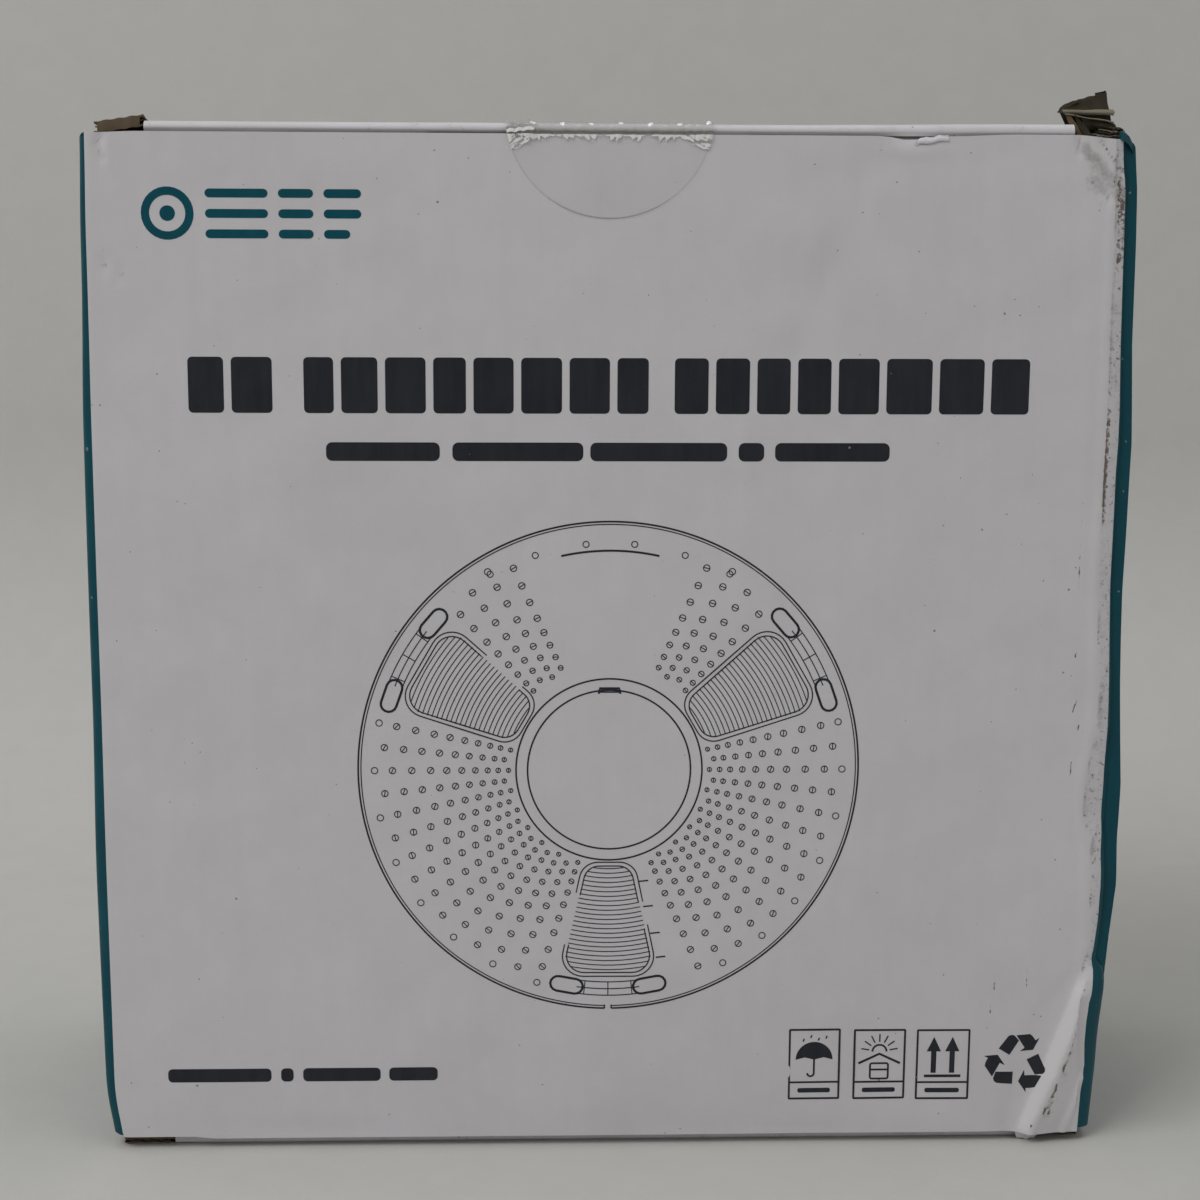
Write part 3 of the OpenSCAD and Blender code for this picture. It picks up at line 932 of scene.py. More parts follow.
def carton(s, z, h):
    rise = (0.28 + 0.44 * ease((s - 66) / 14)) * (1 - ease((np.abs(s) - 91) / 9.5))
    rise = rise - 0.75 * np.exp(-((s - 58.6) / 3.2) ** 2)
    z = z + rise * ease((z - 197) / 10) + 0.5 * ease((-s - 82) / 4) * ease((7 - z) / 6)
    side = np.where(s < 0, -1.0, 1.0)
    run = np.abs(s)
    rear = np.where(s < 0, leftRear, halfD)
    corner1 = flatX
    corner2 = flatX + quarter + rear + halfD - 2 * foldR
    turn1 = np.clip((run - corner1) / foldR, 0, math.pi / 2)
    turn2 = np.clip((run - corner2) / foldR, 0, math.pi / 2)
    alongSide = np.clip(run - corner1 - quarter, 0, corner2 - corner1 - quarter)
    x = np.minimum(run, corner1) + foldR * np.sin(turn1) - foldR * (1 - np.cos(turn2))
    x = x - np.clip(run - corner2 - quarter, 0, None)
    y = -halfD + foldR * (1 - np.cos(turn1)) + alongSide + foldR * np.sin(turn2)
    turn = turn1 + turn2
    out = relief(s, z) - h
    points = np.stack([side * (x + np.sin(turn) * out), y - np.cos(turn) * out, z + 0 * x], axis=-1)
    return shove(points)


# lines, how strong their mark is, and how wide
grimeAndShadeLines = [
    ([innerLine], 0.36, 0.6), (scuffs, 0.6, 0.9), ([fineLine], 0.55, 0.5), ([bandSmear], 0.4, 1.3),
    # the wrinkles' entry paints grime and painted shade in their creases
    ([cornerSmear], 0.62, 2.4), (topWrinkles + leftWrinkles, 0.6, 0.5),
]
wornLines = [
    ([fineLine], 1.1, 0.34), (scuffs, 1.25, 0.5), (innerStrokes, 1.15, 0.36), (standingScuffs, 1.0, 0.4),
    ([innerLine], 0.85, 0.35), ([bottomCrack], 0.62, 0.35), (topWrinkles, 0.9, 0.3),
]


def frontMarks(s, z):
    crease = lineX(z, rightCrease)
    above = ease((z - 34) / 4)
    strip = ease((s - crease + 0.35) / 0.7) * above
    share = bandShare(s, z)
    nearCorner = s > sleeveSet["cornerFrom"]
    facetShade = ease((share - 0.95) / 0.25) * ease((38 - z) / 6) * nearCorner
    ends = np.maximum(ease((panelBottom + 1.6 - z) / 1.6), ease((z - panelTop + 0.8) / 0.8))
    broken = 0.85 + 0.4 * ease((158 - z) / 8) * ease((z - 124) / 8)
    # the strongest mark wins
    grimeAndShading = [
        # grime and painted shade on the strip past the crease, which turns away from the light
        0.42 * strip,
        # painted shade with grime along the crease line
        0.6 * np.exp(-((s - crease) / 0.28) ** 2) * above,
        0.52 * swell(s, z, 96.5, 200, 7, 8),
        0.26 * swell(s, z, 21.8, 182.3, 3.4, 5.5),
        0.22 * ease((s - 90) / 8) * above,
        # painted shade on the facet right of the corner band, which turns away from the light
        0.36 * facetShade,
        0.4 * ends,
    ]
    wear = [
        broken * np.exp(-((s - crease + 0.1) / 0.3) ** 2) * above,
        (0.74 + 0.22 * swell(z, 0 * z, 192, 0, 7, 1)) * strip,
        0.86 * swell(s, z, 99.6, 199.6, 2.2, 1.6),
    ]
    wear += [1.2 * swell(s, z, *spot) for spot in cornerDirt]
    grimeAndShading += [level * along(s, z, lines, wide) for lines, level, wide in grimeAndShadeLines]
    wear += [level * along(s, z, lines, wide) for lines, level, wide in wornLines]
    grimeAndShading, wear = np.maximum.reduce(grimeAndShading), np.maximum.reduce(wear)
    # painted highlights: paler on the corner band, along the second strip and on two small spots near the
    # top, where the grime and shading mark is below 0.45
    paintedHighlight = 0.34 * ease(share / 0.16) * ease((1.02 - share) / 0.16) * ease((40 - z) / 6) * nearCorner
    paintedHighlight = paintedHighlight + 0.3 * along(s, z, [secondShine], 0.5)
    paintedHighlight = paintedHighlight + 0.3 * swell(s, z, -98.0, 204.4, 0.7, 2.4) + 0.34 * swell(s, z, 92.2, 206.2, 0.7, 0.8)
    return wear, np.where(grimeAndShading < 0.45, grimeAndShading - paintedHighlight, grimeAndShading)


def sideMarks(s, z):
    run = np.abs(s)
    start, end = sideSpan(s)
    nearFold = np.exp(-((run - start + 0.6) / 1.1) ** 2)
    nearFold = np.maximum(nearFold, np.exp(-((run - end - 1.2) / 1.4) ** 2))
    nearEnd = np.maximum(ease((9 - z) / 7), ease((z - boxH + 9) / 7))
    wear = 0.36 * nearFold + 0.3 * nearFold * nearEnd
    wear = np.maximum(wear, 0.34 * nearEnd)
    grimeAndShading = 0.3 * nearEnd + 0.28 * nearFold
    return wear, grimeAndShading


def backMarks(s, z):
    start = flatX + 2 * quarter + 2 * (halfD - foldR)
    run = np.abs(s) - start
    width = flatX + halfW
    nearSide = np.maximum(ease((5 - run) / 4), ease((run - width + 5) / 4))
    nearEnd = np.maximum(ease((7 - z) / 5), ease((z - boxH + 7) / 5))
    wear = 0.3 * nearSide + 0.22 * nearEnd
    grimeAndShading = 0.34 * nearSide + 0.3 * nearEnd
    return wear, grimeAndShading


whiteEnd = flatX + foldR * math.radians(sleeveSet["whiteTurn"])
rightEnd = flatX + 2 * quarter + 2 * (halfD - foldR)
leftEnd = flatX + 2 * quarter + leftRear + halfD - 2 * foldR
foldReach = board + 0.2
sideTop = dustFold[2] - foldReach
sideLow = boxH - sideTop
arcTop = dustFold[2]


def foldLines(low, high, step, corner):
    # grid lines along the blank with the fold's arc stepped finely
    arc = [corner + quarter * k / 8 for k in range(9)]
    return span(low, high, step, *[a for a in arc if low < a < high])


frontBoard = newMesh()
columns = merged(
    span(-whiteEnd, -92, 0.8, -flatX), span(-92, 76, 2.1, 55, 60, 65), span(76, whiteEnd, 0.62, flatX))
rows = merged(span(panelBottom, 46, 1.0), span(46, 196, 1.9), span(196, panelTop, 0.7))
addBoard(frontBoard, columns, rows, carton, fluted="bt", marks=frontMarks)
frontPiece = makePiece(frontBoard, "frontBoard", [coatedBoard, kraftBoard])
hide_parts("front_panel")
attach(frontPiece, "carton")


def addSideBoard(mesh, side, far):
    rearCorner = far - quarter
    lines = merged(foldLines(whiteEnd, far, 2.6, flatX), foldLines(rearCorner - 0.01, far, 0.6, rearCorner))
    lines = lines if side > 0 else -lines[::-1]
    addBoard(mesh, lines, span(sideLow, sideTop, 2.2), carton, marks=sideMarks)
    # the rounded folds reach further up and down than the flat board between them
    for arc in (span(whiteEnd, flatX + quarter, 0.4), span(rearCorner, far, 0.5)):
        arc = arc if side > 0 else -arc[::-1]
        for low, high in ((sideTop, arcTop), (boxH - arcTop, sideLow)):
            addBoard(mesh, arc, span(low, high, 0.7), carton, marks=sideMarks)


rightBoard = newMesh()
addSideBoard(rightBoard, 1, rightEnd)
rightPiece = makePiece(rightBoard, "rightBoard", [tealBoard, kraftBoard])
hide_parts("right_panel")
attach(rightPiece, "carton")

leftBoard = newMesh()
addSideBoard(leftBoard, -1, leftEnd)
leftPiece = makePiece(leftBoard, "leftBoard", [tealBoard, kraftBoard])
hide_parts("left_panel")
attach(leftPiece, "carton")


def glueFlapPlace(s, t, h):
    # t runs from 0 at the flap's foot to 1 at its head
    run = -s - leftEnd
    taper = sleeveSet["glueTaper"] * run / sleeveSet["glueFlap"]
    low = boxOf("glue_flap")[0][2] + taper
    z = low + t * (boxH - 2 * low)
    return carton(s, z, h)


glueBoard = newMesh()
addBoard(
    glueBoard, span(-leftEnd - sleeveSet["glueFlap"], -leftEnd, 1.6), np.linspace(0, 1, 90),
    glueFlapPlace, raw="l", fluted="bt")
gluePiece = makePiece(glueBoard, "glueBoard", [tealBoard, kraftBoard])
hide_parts("glue_flap")
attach(gluePiece, "carton")

backBoard = newMesh()
backFar = rightEnd + flatX + halfW
backLines = span(rightEnd, backFar, 2.6)
foldTop = lidFold[2] - foldReach
lidHalf = boxOf("bottom_lid")[1][0]
addBoard(backBoard, backLines, span(boxH - foldTop, foldTop, 2.3), carton, raw="r", marks=backMarks)
for low, high in ((foldTop, lidFold[2]), (boxH - lidFold[2], boxH - foldTop)):
    strip = span(backFar - (halfW - lidHalf), backFar, 0.9)
    addBoard(backBoard, strip, span(low, high, 0.8), carton, raw="r", marks=backMarks)
backPiece = makePiece(backBoard, "backBoard", [coatedBoard, kraftBoard])
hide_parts("back_panel")
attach(backPiece, "carton")
print("sleeve done")


# Folds between a panel and its flap.

foldSet = {
    "steps": 8,
    "ease": (1.3, 0.6),
    "flatTo": 0.93,
    "crimp": 0.35,
    "wear": 0.30,
    "wearWave": 0.16,
    "wearBeat": 0.37,
}


def mirrored(points):
    # from the top of the carton to its bottom
    return points * (1, 1, -1) + (0, 0, boxH)


def foldStrip(name, pivot, wayA, wayB, axis, stations, finishes,
              shape=None, flip=False, cap=1):
    wayA, wayB, axis = (np.array(w, float) for w in (wayA, wayB, axis))

    def outwardOf(way, other):
        out = np.cross(axis, way)
        return out if out @ other < 0 else -out

    outA, outB = outwardOf(wayA, wayB), outwardOf(wayB, wayA)
    opening = math.acos(np.clip(wayA @ wayB, -1, 1))
    inner = halfBoard / math.tan(opening / 2)
    far, near = foldSet["ease"]
    outline = [wayA * a + outA * halfBoard for a in (foldReach, far, near)]
    steps = foldSet["steps"]
    for k in range(steps + 1):
        way = outA * (1 - k / steps) + outB * (k / steps)
        outline.append(way / np.linalg.norm(way) * halfBoard)
    outline += [wayB * a + outB * halfBoard for a in (near, foldSet["flatTo"], far, foldReach)]
    outer = len(outline)
    crimp = inner + foldSet["crimp"]
    outline += [wayB * a - outB * halfBoard for a in (foldReach, crimp, inner)]
    outline += [wayA * a - outA * halfBoard for a in (crimp, foldReach)]
    outline = np.array(outline)
    mesh = newMesh()
    rings = []
    for at in stations:
        ring = outline.copy()
        if shape:
            ring = shape(at, ring, outer)
        rings.append(pivot + axis * at + ring)
    rings = np.array(rings)
    if axis[1]:
        turned = mirrored(rings) if flip else rings
        rings = rings + (shove(turned) - turned)
    stops, sides = rings.shape[:2]
    wear = np.zeros((stops, sides))
    wave = np.abs(np.sin(np.array(stations) * foldSet["wearBeat"]))
    wear[:, 3:12] = foldSet["wear"] + foldSet["wearWave"] * wave[:, None]
    finish = [0 if k < outer - 1 else 1 for k in range(sides)]
    sweepRings(mesh, rings, finish=finish, wear=wear, grimeAndShading=wear * 0.9, cap=cap)
    piece = makePiece(mesh, name, finishes, flip=flip)
    begin = pivot + wayA * halfBoard
    finishAt = pivot + wayB * halfBoard
    if flip:
        begin, finishAt = mirrored(begin), mirrored(finishAt)
    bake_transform(piece)


tuckSet = {
    "lean": 11,
    "halfWidth": 90.4,
    "length": 14.0,
    "corner": 6.0,
    "taper": 2.0,
}
tuckLean = math.radians(tuckSet["lean"])
tuckDown = np.array([0, math.sin(tuckLean), -math.cos(tuckLean)])
tuckPivot = np.array([0, tuckFold[1], tuckFold[2]])
tuckX = tuckSet["halfWidth"]
rollWaves = makeWaves(6, 12, 60, 0.05)


def frontRoll(at, ring, outer):
    # the tuck's fold is a soft roll that was pressed in above the dent
    press = 0.5 * math.exp(-((at - 60) / 6) ** 2)
    wobble = float(ripple(rollWaves, np.array(at), 0)) - press
    for k in range(3, outer - 4):
        ring[k] = ring[k] * (1 + 0.35 * wobble)
    face = ring[:outer]
    above = ease((face[:, 2] + tuckFold[2] - panelTop - 0.04) / 0.22)
    face[:, 1] -= 0.85 * above * np.clip(-face[:, 1] / halfBoard, 0, 1) ** 1.5
    rise = 0.4 + 0.45 * ease((at - 30) / 50)
    face[:, 2] += rise * ease((face[:, 2] + 0.1) / 0.9) * ease((1.9 - face[:, 1]) / 1.3)
    return ring


def bottomRoll(at, ring, outer):
    wobble = float(ripple(rollWaves, np.array(at + 40), 0)) - 0.3 * math.exp(-((at + 88) / 5) ** 2)
    for k in range(3, outer - 4):
        ring[k] = ring[k] * (1 + 0.3 * min(wobble, 0.12))
    return ring


bothEnds = (("top", False), ("bottom", True))
bothSides = ((-1, "left"), (1, "right"))
whitePair = [coatedBoard, kraftBoard]
tealPair = [tealBoard, kraftBoard]
frontY, rearY = -halfD + board + 0.6, leftRear - foldR - 0.3
for end, flip in bothEnds:
    foldStrip(
        end + "LidFold", np.array([0, lidFold[1], lidFold[2]]), (0, 0, -1), (0, -1, 0), (1, 0, 0),
        span(-lidHalf, lidHalf, 3.0), whitePair, flip=flip)
    foldStrip(
        end + "TuckFold", tuckPivot, (0, 1, 0), tuckDown, (1, 0, 0),
        span(-tuckX + 0.1, tuckX + (-0.1 if flip else 1.0), 1.5),
        whitePair, shape=bottomRoll if flip else frontRoll, flip=flip)
    for side, word in bothSides:
        foldStrip(
            end + "DustFold" + word.capitalize(), np.array([side * dustFold[0], 0, dustFold[2]]),
            (0, 0, -1), (-side, 0, 0), (0, 1, 0), span(frontY, rearY, 2.4),
            tealPair, flip=flip, cap=0)
print("folds done")


# Lids, tucks and dust flaps

lidSet = {
    "cornerLength": 10.0,
    "sag": 0.5,
}
lidWaves = makeWaves(6, 40, 120, 0.10)
lidTop = boxH
cornerY = tuckFold[1] + lidSet["cornerLength"]
lidRear = lidFold[1] - foldReach
lidFront = tuckFold[1] + foldReach


def lidPlace(x, y, h):
    calm = ease((lidRear - y) / 12) * ease((y - lidFront) / 10) * ease((lidHalf - np.abs(x)) / 10)
    sag = -lidSet["sag"] * np.sin(np.clip((y - lidFront) / (lidRear - lidFront), 0, 1) * math.pi)
    sag = np.minimum(sag * np.cos(x / lidHalf * math.pi / 2) + ripple(lidWaves, x, y), 0)
    return np.stack([x, y, lidTop + calm * sag - h], axis=-1)


def lidMarks(x, y):
    nearSide = ease((np.abs(x) - lidHalf + 3.5) / 3)
    nearFront = ease((lidFront + 4 - y) / 4)
    return 0.36 * nearSide + 0.2 * nearFront, 0.34 * nearSide + 0.26 * nearFront + 0.1


def leftCorner(x, y, h):
    # raw corner beside the slit, lifted a little, with its sheets spread
    out = np.clip(cornerY - y, 0, None)
    share = (x + lidHalf) / (lidHalf - tuckX)
    rise = out / 10 * (0.05 + 1.35 * share) + 0.09 * np.sin(x * 2.3 + y) * ease(out / 8)
    inset = 0.9 * (1 - share) * ease(out / 4)
    spread = h * (1 + 0.2 * ease(out / 10))
    return np.stack([x + inset, y + 0.15 * np.sin(x * 1.1), lidTop + rise - spread], axis=-1)


def soiled(x, y):
    return 0.12 + 0 * x, 0.55 + 0.4 * ease((cornerY - y) / 9)


for end, flip in bothEnds:
    mesh = newMesh()
    addBoard(mesh, span(-lidHalf, lidHalf, 2.6, -tuckX, tuckX), span(cornerY, lidRear, 2.4), lidPlace,
             raw="lr", marks=lidMarks)
    addBoard(mesh, span(-tuckX + 0.1, tuckX - 0.1, 2.4), span(lidFront, cornerY, 1.6), lidPlace,
             marks=lidMarks)
    if flip:
        for side in (-1, 1):
            def pinched(x, y, h, side=side):
                out = ease((cornerY - y) / 9)
                squeeze = 1 - 0.45 * out
                wavy = 0.25 * np.sin(x * 1.9 + side) * out
                return np.stack([x, y, lidTop - 0.35 * out - wavy * 0.3 - h * squeeze], axis=-1)
            low, high = (-lidHalf, -tuckX - 0.1) if side < 0 else (tuckX + 0.1, lidHalf)
            addBoard(mesh, span(low, high, 0.9), span(tuckFold[1] - 0.9, cornerY, 0.9), pinched,
                     raw="lr", fluted="b", marks=lidMarks)
    else:
        addBoard(mesh, span(-lidHalf, -tuckX - 0.1, 0.7), span(tuckFold[1] - 0.9, cornerY, 0.7), leftCorner,
                 raw="lr", marks=soiled)
    piece = makePiece(mesh, end + "LidBoard", whitePair, flip=flip)
    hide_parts(end + "_lid")
    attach(piece, end + "_lid")


def tuckHalf(v):
    # half width of the tuck at distance v from its fold, with round lower corners
    corner = tuckSet["corner"]
    base = tuckX - 0.5 - tuckSet["taper"] * v / tuckSet["length"]
    into = np.clip(v - (tuckSet["length"] - corner), 0, corner)
    return base - corner + np.sqrt(np.clip(corner ** 2 - into ** 2, 0, None))


def tuckPlace(u, v, h):
    out = np.array([0, -math.cos(tuckLean), -math.sin(tuckLean)])
    flat = tuckPivot + v[..., None] * tuckDown + (halfBoard - h)[..., None] * out
    flat[..., 0] = u * tuckHalf(v)
    return flat


for end, flip in bothEnds:
    mesh = newMesh()
    rows = np.append(span(foldReach, 8.0, 1.6)[:-1], 8 + 5.98 * np.sin(np.linspace(0, math.pi / 2, 7)))
    addBoard(mesh, np.linspace(-1, 1, 80), rows, tuckPlace, raw="lr", fluted="t")
    piece = makePiece(mesh, end + "TuckBoard", whitePair, flip=flip)
    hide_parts(end + "_tuck")
    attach(piece, end + "_tuck")

dustSet = {
    "length": 62.0,
    "front": -35.6,
    "frontTip": -29.6,
    "shoulder": 11.6,
    "shoulderStep": 3.0,
    "slope": 30,
    "frontCorner": 5.0,
    "rearCorner": 8.0,
}
dustRear = rearY
dustWaves = makeWaves(5, 30, 80, 0.05)


def roundIn(v, corner, length):
    into = np.clip(v - (length - corner), 0, corner)
    return corner - np.sqrt(np.clip(corner ** 2 - into ** 2, 0, None))


def dustEdges(v):
    length = dustSet["length"]
    past = ease((v - dustSet["shoulder"] + 0.5) / 0.5)
    low = dustSet["front"] + past * (dustSet["shoulderStep"] + 3.0 * (v - dustSet["shoulder"]) / 50.4)
    low = low + roundIn(v, dustSet["frontCorner"], length)
    high = dustRear - np.clip(v - 0.95, 0, None) * math.tan(math.radians(dustSet["slope"]))
    return low, high - roundIn(v, dustSet["rearCorner"], length) * 0.7


for end, flip in bothEnds:
    for side, word in bothSides:
        def dustPlace(v, u, h, side=side):
            low, high = dustEdges(v)
            y = low + u * (high - low)
            calm = ease((v - foldReach) / 10)
            droop = -0.5 * calm * ((v - foldReach) / 60) ** 2 + 0.35 * calm * ripple(dustWaves, v, y)
            x = side * (dustFold[0] - v)
            return np.stack([x, y, dustFold[2] + halfBoard - h + np.minimum(droop, 0)], axis=-1)
        mesh = newMesh()
        roundEnd = 54 + 7.97 * np.sin(np.linspace(0, math.pi / 2, 8))
        steps = merged(span(foldReach, 54, 2.2, 11.1, 11.35, 11.6), roundEnd, places=3)
        addBoard(mesh, steps, np.linspace(0, 1, 34), dustPlace, raw="bt", fluted="r")
        piece = makePiece(mesh, f"{end}Dust{word.capitalize()}Board", tealPair, flip=flip)
        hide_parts(f"{end}_dust_{word}")
        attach(piece, f"{end}_dust_{word}")
print("flaps done")


# The torn right corner of the top lid: the board stands up, and its sheets have come apart.

def scrap(mesh, corners, across, along, thick, bend, ragged, finish=0, backFinish=1, rim=2):
    # a thin sheet between four corners, bent by bend(u, v) -> offset, with a ragged far edge
    a, b, c, d = (np.array(p, float) for p in corners)
    u, v = np.meshgrid(np.linspace(0, 1, across), np.linspace(0, 1, along), indexing="ij")
    v2 = v * (1 + ragged * (0.6 * np.sin(u * 17 + a[0]) + 0.4 * np.sin(u * 41 + a[2])) * v)
    base = (
        (1 - u)[..., None] * ((1 - v2)[..., None] * a + v2[..., None] * d)
        + u[..., None] * ((1 - v2)[..., None] * b + v2[..., None] * c)
    )
    base = base + bend(u, v)
    normal = np.cross(np.gradient(base, axis=0), np.gradient(base, axis=1))
    normal = normal / np.maximum(np.linalg.norm(normal, axis=-1, keepdims=True), 1e-9)
    addSheet(mesh, base, base - normal * thick, 0.25, 0.3, (finish, backFinish, rim))


# edges of the standing board from its crease up, as (left, right) points
earEdges = [
    ((tuckX + 2.9, cornerY, 209.9), (lidHalf + 0.4, cornerY, 209.9)),
    ((tuckX + 1.5, cornerY - 1.9, 211.4), (lidHalf + 0.3, cornerY - 1.6, 211.6)),
    ((tuckX - 0.1, cornerY - 3.3, 213.8), (lidHalf - 0.4, cornerY - 2.6, 214.0)),
    ((tuckX + 0.1, cornerY - 2.4, 214.5), (lidHalf - 0.7, cornerY - 1.5, 215.9)),
    ((tuckX + 0.9, cornerY - 2.0, 215.2), (lidHalf - 0.8, cornerY - 0.6, 217.7)),
]


def earPlace(u, v, h):
    stops = np.linspace(0, 1, len(earEdges))
    left = np.stack([np.interp(v, stops, [e[0][k] for e in earEdges]) for k in range(3)], axis=-1)
    right = np.stack([np.interp(v, stops, [e[1][k] for e in earEdges]) for k in range(3)], axis=-1)
    points = left + (right - left) * u[..., None]
    hook = 0.5 * ease((u - 0.9) / 0.07) * ease((v - 0.8) / 0.2)
    points[..., 2] += hook + (0.22 * np.sin(u * math.pi) + 0.07 * np.sin(u * 23)) * ease((v - 0.6) / 0.4)
    points[..., 1] += 0.35 * np.sin(u * 7 + v * 3) * ease(v / 0.3) - h * (0.8 - 0.3 * v)
    points[..., 2] -= h * 0.25
    return points


# wear, and grime that grows into painted shade of the dark cavity over the lower left of the standing board
def earWearAndShade(u, v):
    return 0.15 + 0.25 * u * v, 0.25 + 0.75 * ease((0.62 - v) / 0.2) * ease((1.1 - u) / 0.5)


ear = newMesh()
addBoard(ear, np.linspace(0, 1, 30), np.linspace(0, 1, 33), earPlace, thick=1.5, raw="lr", fluted="t",
         marks=earWearAndShade)


def wavy(dx, dy, dz, fold, beat=6.0):
    # how a scrap curls: bowed by dx, dy and dz between its held edge and its torn one
    def bend(u, v):
        arch = np.sin(v * math.pi)
        return np.stack([
            dx * arch + 0.12 * np.sin(v * 9 + u * 3),
            dy * arch + fold * np.sin(u * beat + v * 2),
            dz * arch + 0.5 * fold * np.sin(u * beat * 1.4 + 1),
        ], axis=-1)
    return bend


front1 = cornerY - 5.0
# light band folded out of the board, and its lower lip sagging to the right
scrap(ear, [(90.7, front1 + 0.3, 213.3), (101.0, front1 + 0.6, 213.0), (101.1, front1 + 1.4, 214.25),
            (90.6, front1 + 0.9, 214.1)], 26, 9, 0.3, wavy(0, -0.6, 0, 0.1), 0.03, 2, 1)
scrap(ear, [(91.2, front1 - 0.1, 213.0), (100.8, front1 - 0.3, 211.55), (100.8, front1, 211.85),
            (91.0, front1 + 0.2, 213.4)], 26, 5, 0.28, wavy(0, -0.2, 0, 0.22), 0.05, 2, 2)
# darker sheet under the lip
scrap(ear, [(95.5, front1 + 0.5, 210.2), (101.3, front1 + 0.3, 210.1), (101.4, front1 + 0.2, 211.4),
            (94.6, front1 + 0.4, 212.2)], 26, 9, 0.3, wavy(0, -0.3, 0, 0.25), 0.05, 1, 1)
# brown loop of liner down the left side
scrap(ear, [(93.6, -31.6, 208.7), (95.0, -31.4, 208.4), (92.3, -29.6, 213.3), (90.9, -29.4, 213.5)],
      12, 18, 0.3, wavy(-0.3, -0.4, 0, 0.12), 0.03, 3, 1, 1)
scrap(ear, [(94.8, -32.2, 208.3), (96.9, -31.6, 208.3), (93.9, -30.0, 212.4), (92.6, -30.0, 213.0)],
      12, 12, 0.3, wavy(0.2, 0.3, 0, 0.2), 0.06, 1, 1, 1)
# sheets lying on each other at the fold
for k in range(5):
    lift = 208.1 + 0.45 * k
    scrap(ear, [(95.8 + 0.7 * k, cornerY - 4.8, lift + 0.6), (101.8 - 0.1 * k, cornerY - 4.6, lift + 0.5),
                (102.2 - 0.25 * k, -36.9 + 0.25 * k, lift - 0.1), (95.4 + 0.9 * k, -37.0 + 0.4 * k, lift)],
          22, 14, 0.24, wavy(0, 0, 0.12, 0.2, 7.0 + k), 0.05, 1, 1, 2 if k in (1, 3) else 1)
earPiece = makePiece(ear, "topLidTornCorner", [coatedBoard, agedKraft, agedLiner, brownLiner], sharp=50)
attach(earPiece, "top_lid")
# the side's fold, pulled up over the corner of the front
shoulder = newMesh()
shoulderTop = [(100.2, 209.5), (101.2, 209.3), (102.2, 208.6), (103.0, 207.4), (103.5, 206.0)]
shoulderLow = [(100.3, 207.9), (101.4, 207.4), (102.1, 206.9), (102.8, 206.1), (103.4, 205.3)]
shoulderNear = [-37.9, -37.8, -37.4, -36.9, -36.0]
far = -33.0
rings = [
    [(topX, near + 0.5, topZ), (lowX, near, lowZ), (lowX, far, lowZ), (topX, far, topZ)]
    for (topX, topZ), (lowX, lowZ), near in zip(shoulderTop, shoulderLow, shoulderNear)
]
sweepRings(shoulder, np.array(rings), wear=0.35, grimeAndShading=0.5)
shoulderPiece = makePiece(shoulder, "rightShoulder", [tealBoard], sharp=60)
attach(shoulderPiece, "carton")

# small torn lip over the dent of the front's top edge, and crushed liner at the bottom right
def dentCurl(u, v):
    return np.stack([0 * u, -0.35 * np.sin(v * 3.1), 0.12 * np.sin(u * 11)], axis=-1)


def footCurl(u, v):
    return np.stack([0 * u, -0.75 * np.sin(v * 2.6) * np.sin(0.3 + u * 2.5), 0.1 * np.sin(u * 9)], axis=-1)


lips = newMesh()
scrap(lips, [(59.6, -38.3, 206.6), (66.4, -38.2, 207.5), (66.2, -37.4, 208.6), (60.6, -37.5, 207.9)],
      14, 8, 0.2, dentCurl, 0.1, 0, 0)
scrap(lips, [(87.0, -37.7, 2.5), (92.4, -37.7, 2.5), (91.5, -36.9, 0.3), (87.8, -36.9, 0.35)],
      14, 8, 0.3, footCurl, 0.08, 0, 0)
lipPiece = makePiece(lips, "crushedLinerLips", [coatedBoard, kraftBoard, tornLiner], sharp=60)
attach(lipPiece, "carton")
print("torn corner done")


# Print on the front: plain shapes only. Each is a thin closed layer that follows the board.

printSet = {
    "proud": 0.035,
    "sunk": 0.05,
    "markX": -91.1,
    "markZ": 192.7,
    "headingLow": 154.0,
    "headingHigh": 165.0,
    "headingWords": [(-82.9, -66.4, 2), (-60.2, 7.9, 8), (13.1, 84.0, 8)],
    "subtitleZ": 146.4,
    "subtitleTall": 3.7,
    "subtitleWords": [(-56, -33.5), (-31, -5), (-3.6, 23.7), (26, 31.1), (33.3, 56.3)],
    "captionZ": 16.0,
    "captionTall": 2.9,
    "captionWords": [(-91, -69.6), (-67.6, -65.0), (-63.0, -46.9), (-45.1, -35)],
    "drawingCentre": (0.5, 81.35),
    "drawingR": 51.09,
}


def onFront(points, depth):
    points = np.asarray(points, float)
    return carton(points[..., 0], points[..., 1], np.full(points.shape[:-1], depth))


def stroke(mesh, path, width, closed=False):
    # a line of ink along a path on the front
    path = np.asarray(path, float)
    if closed:
        ahead = np.roll(path, -1, axis=0) - np.roll(path, 1, axis=0)
    else:
        ahead = np.gradient(path, axis=0)
    ahead = ahead / np.maximum(np.linalg.norm(ahead, axis=1, keepdims=True), 1e-9)
    across = np.stack([-ahead[:, 1], ahead[:, 0]], axis=1) * width / 2
    left, right = path + across, path - across
    proud, sunk = -printSet["proud"], printSet["sunk"]
    corners = ((left, proud), (right, proud), (right, sunk), (left, sunk))
    sweepRings(mesh, np.stack([onFront(points, depth) for points, depth in corners], axis=1), closed)


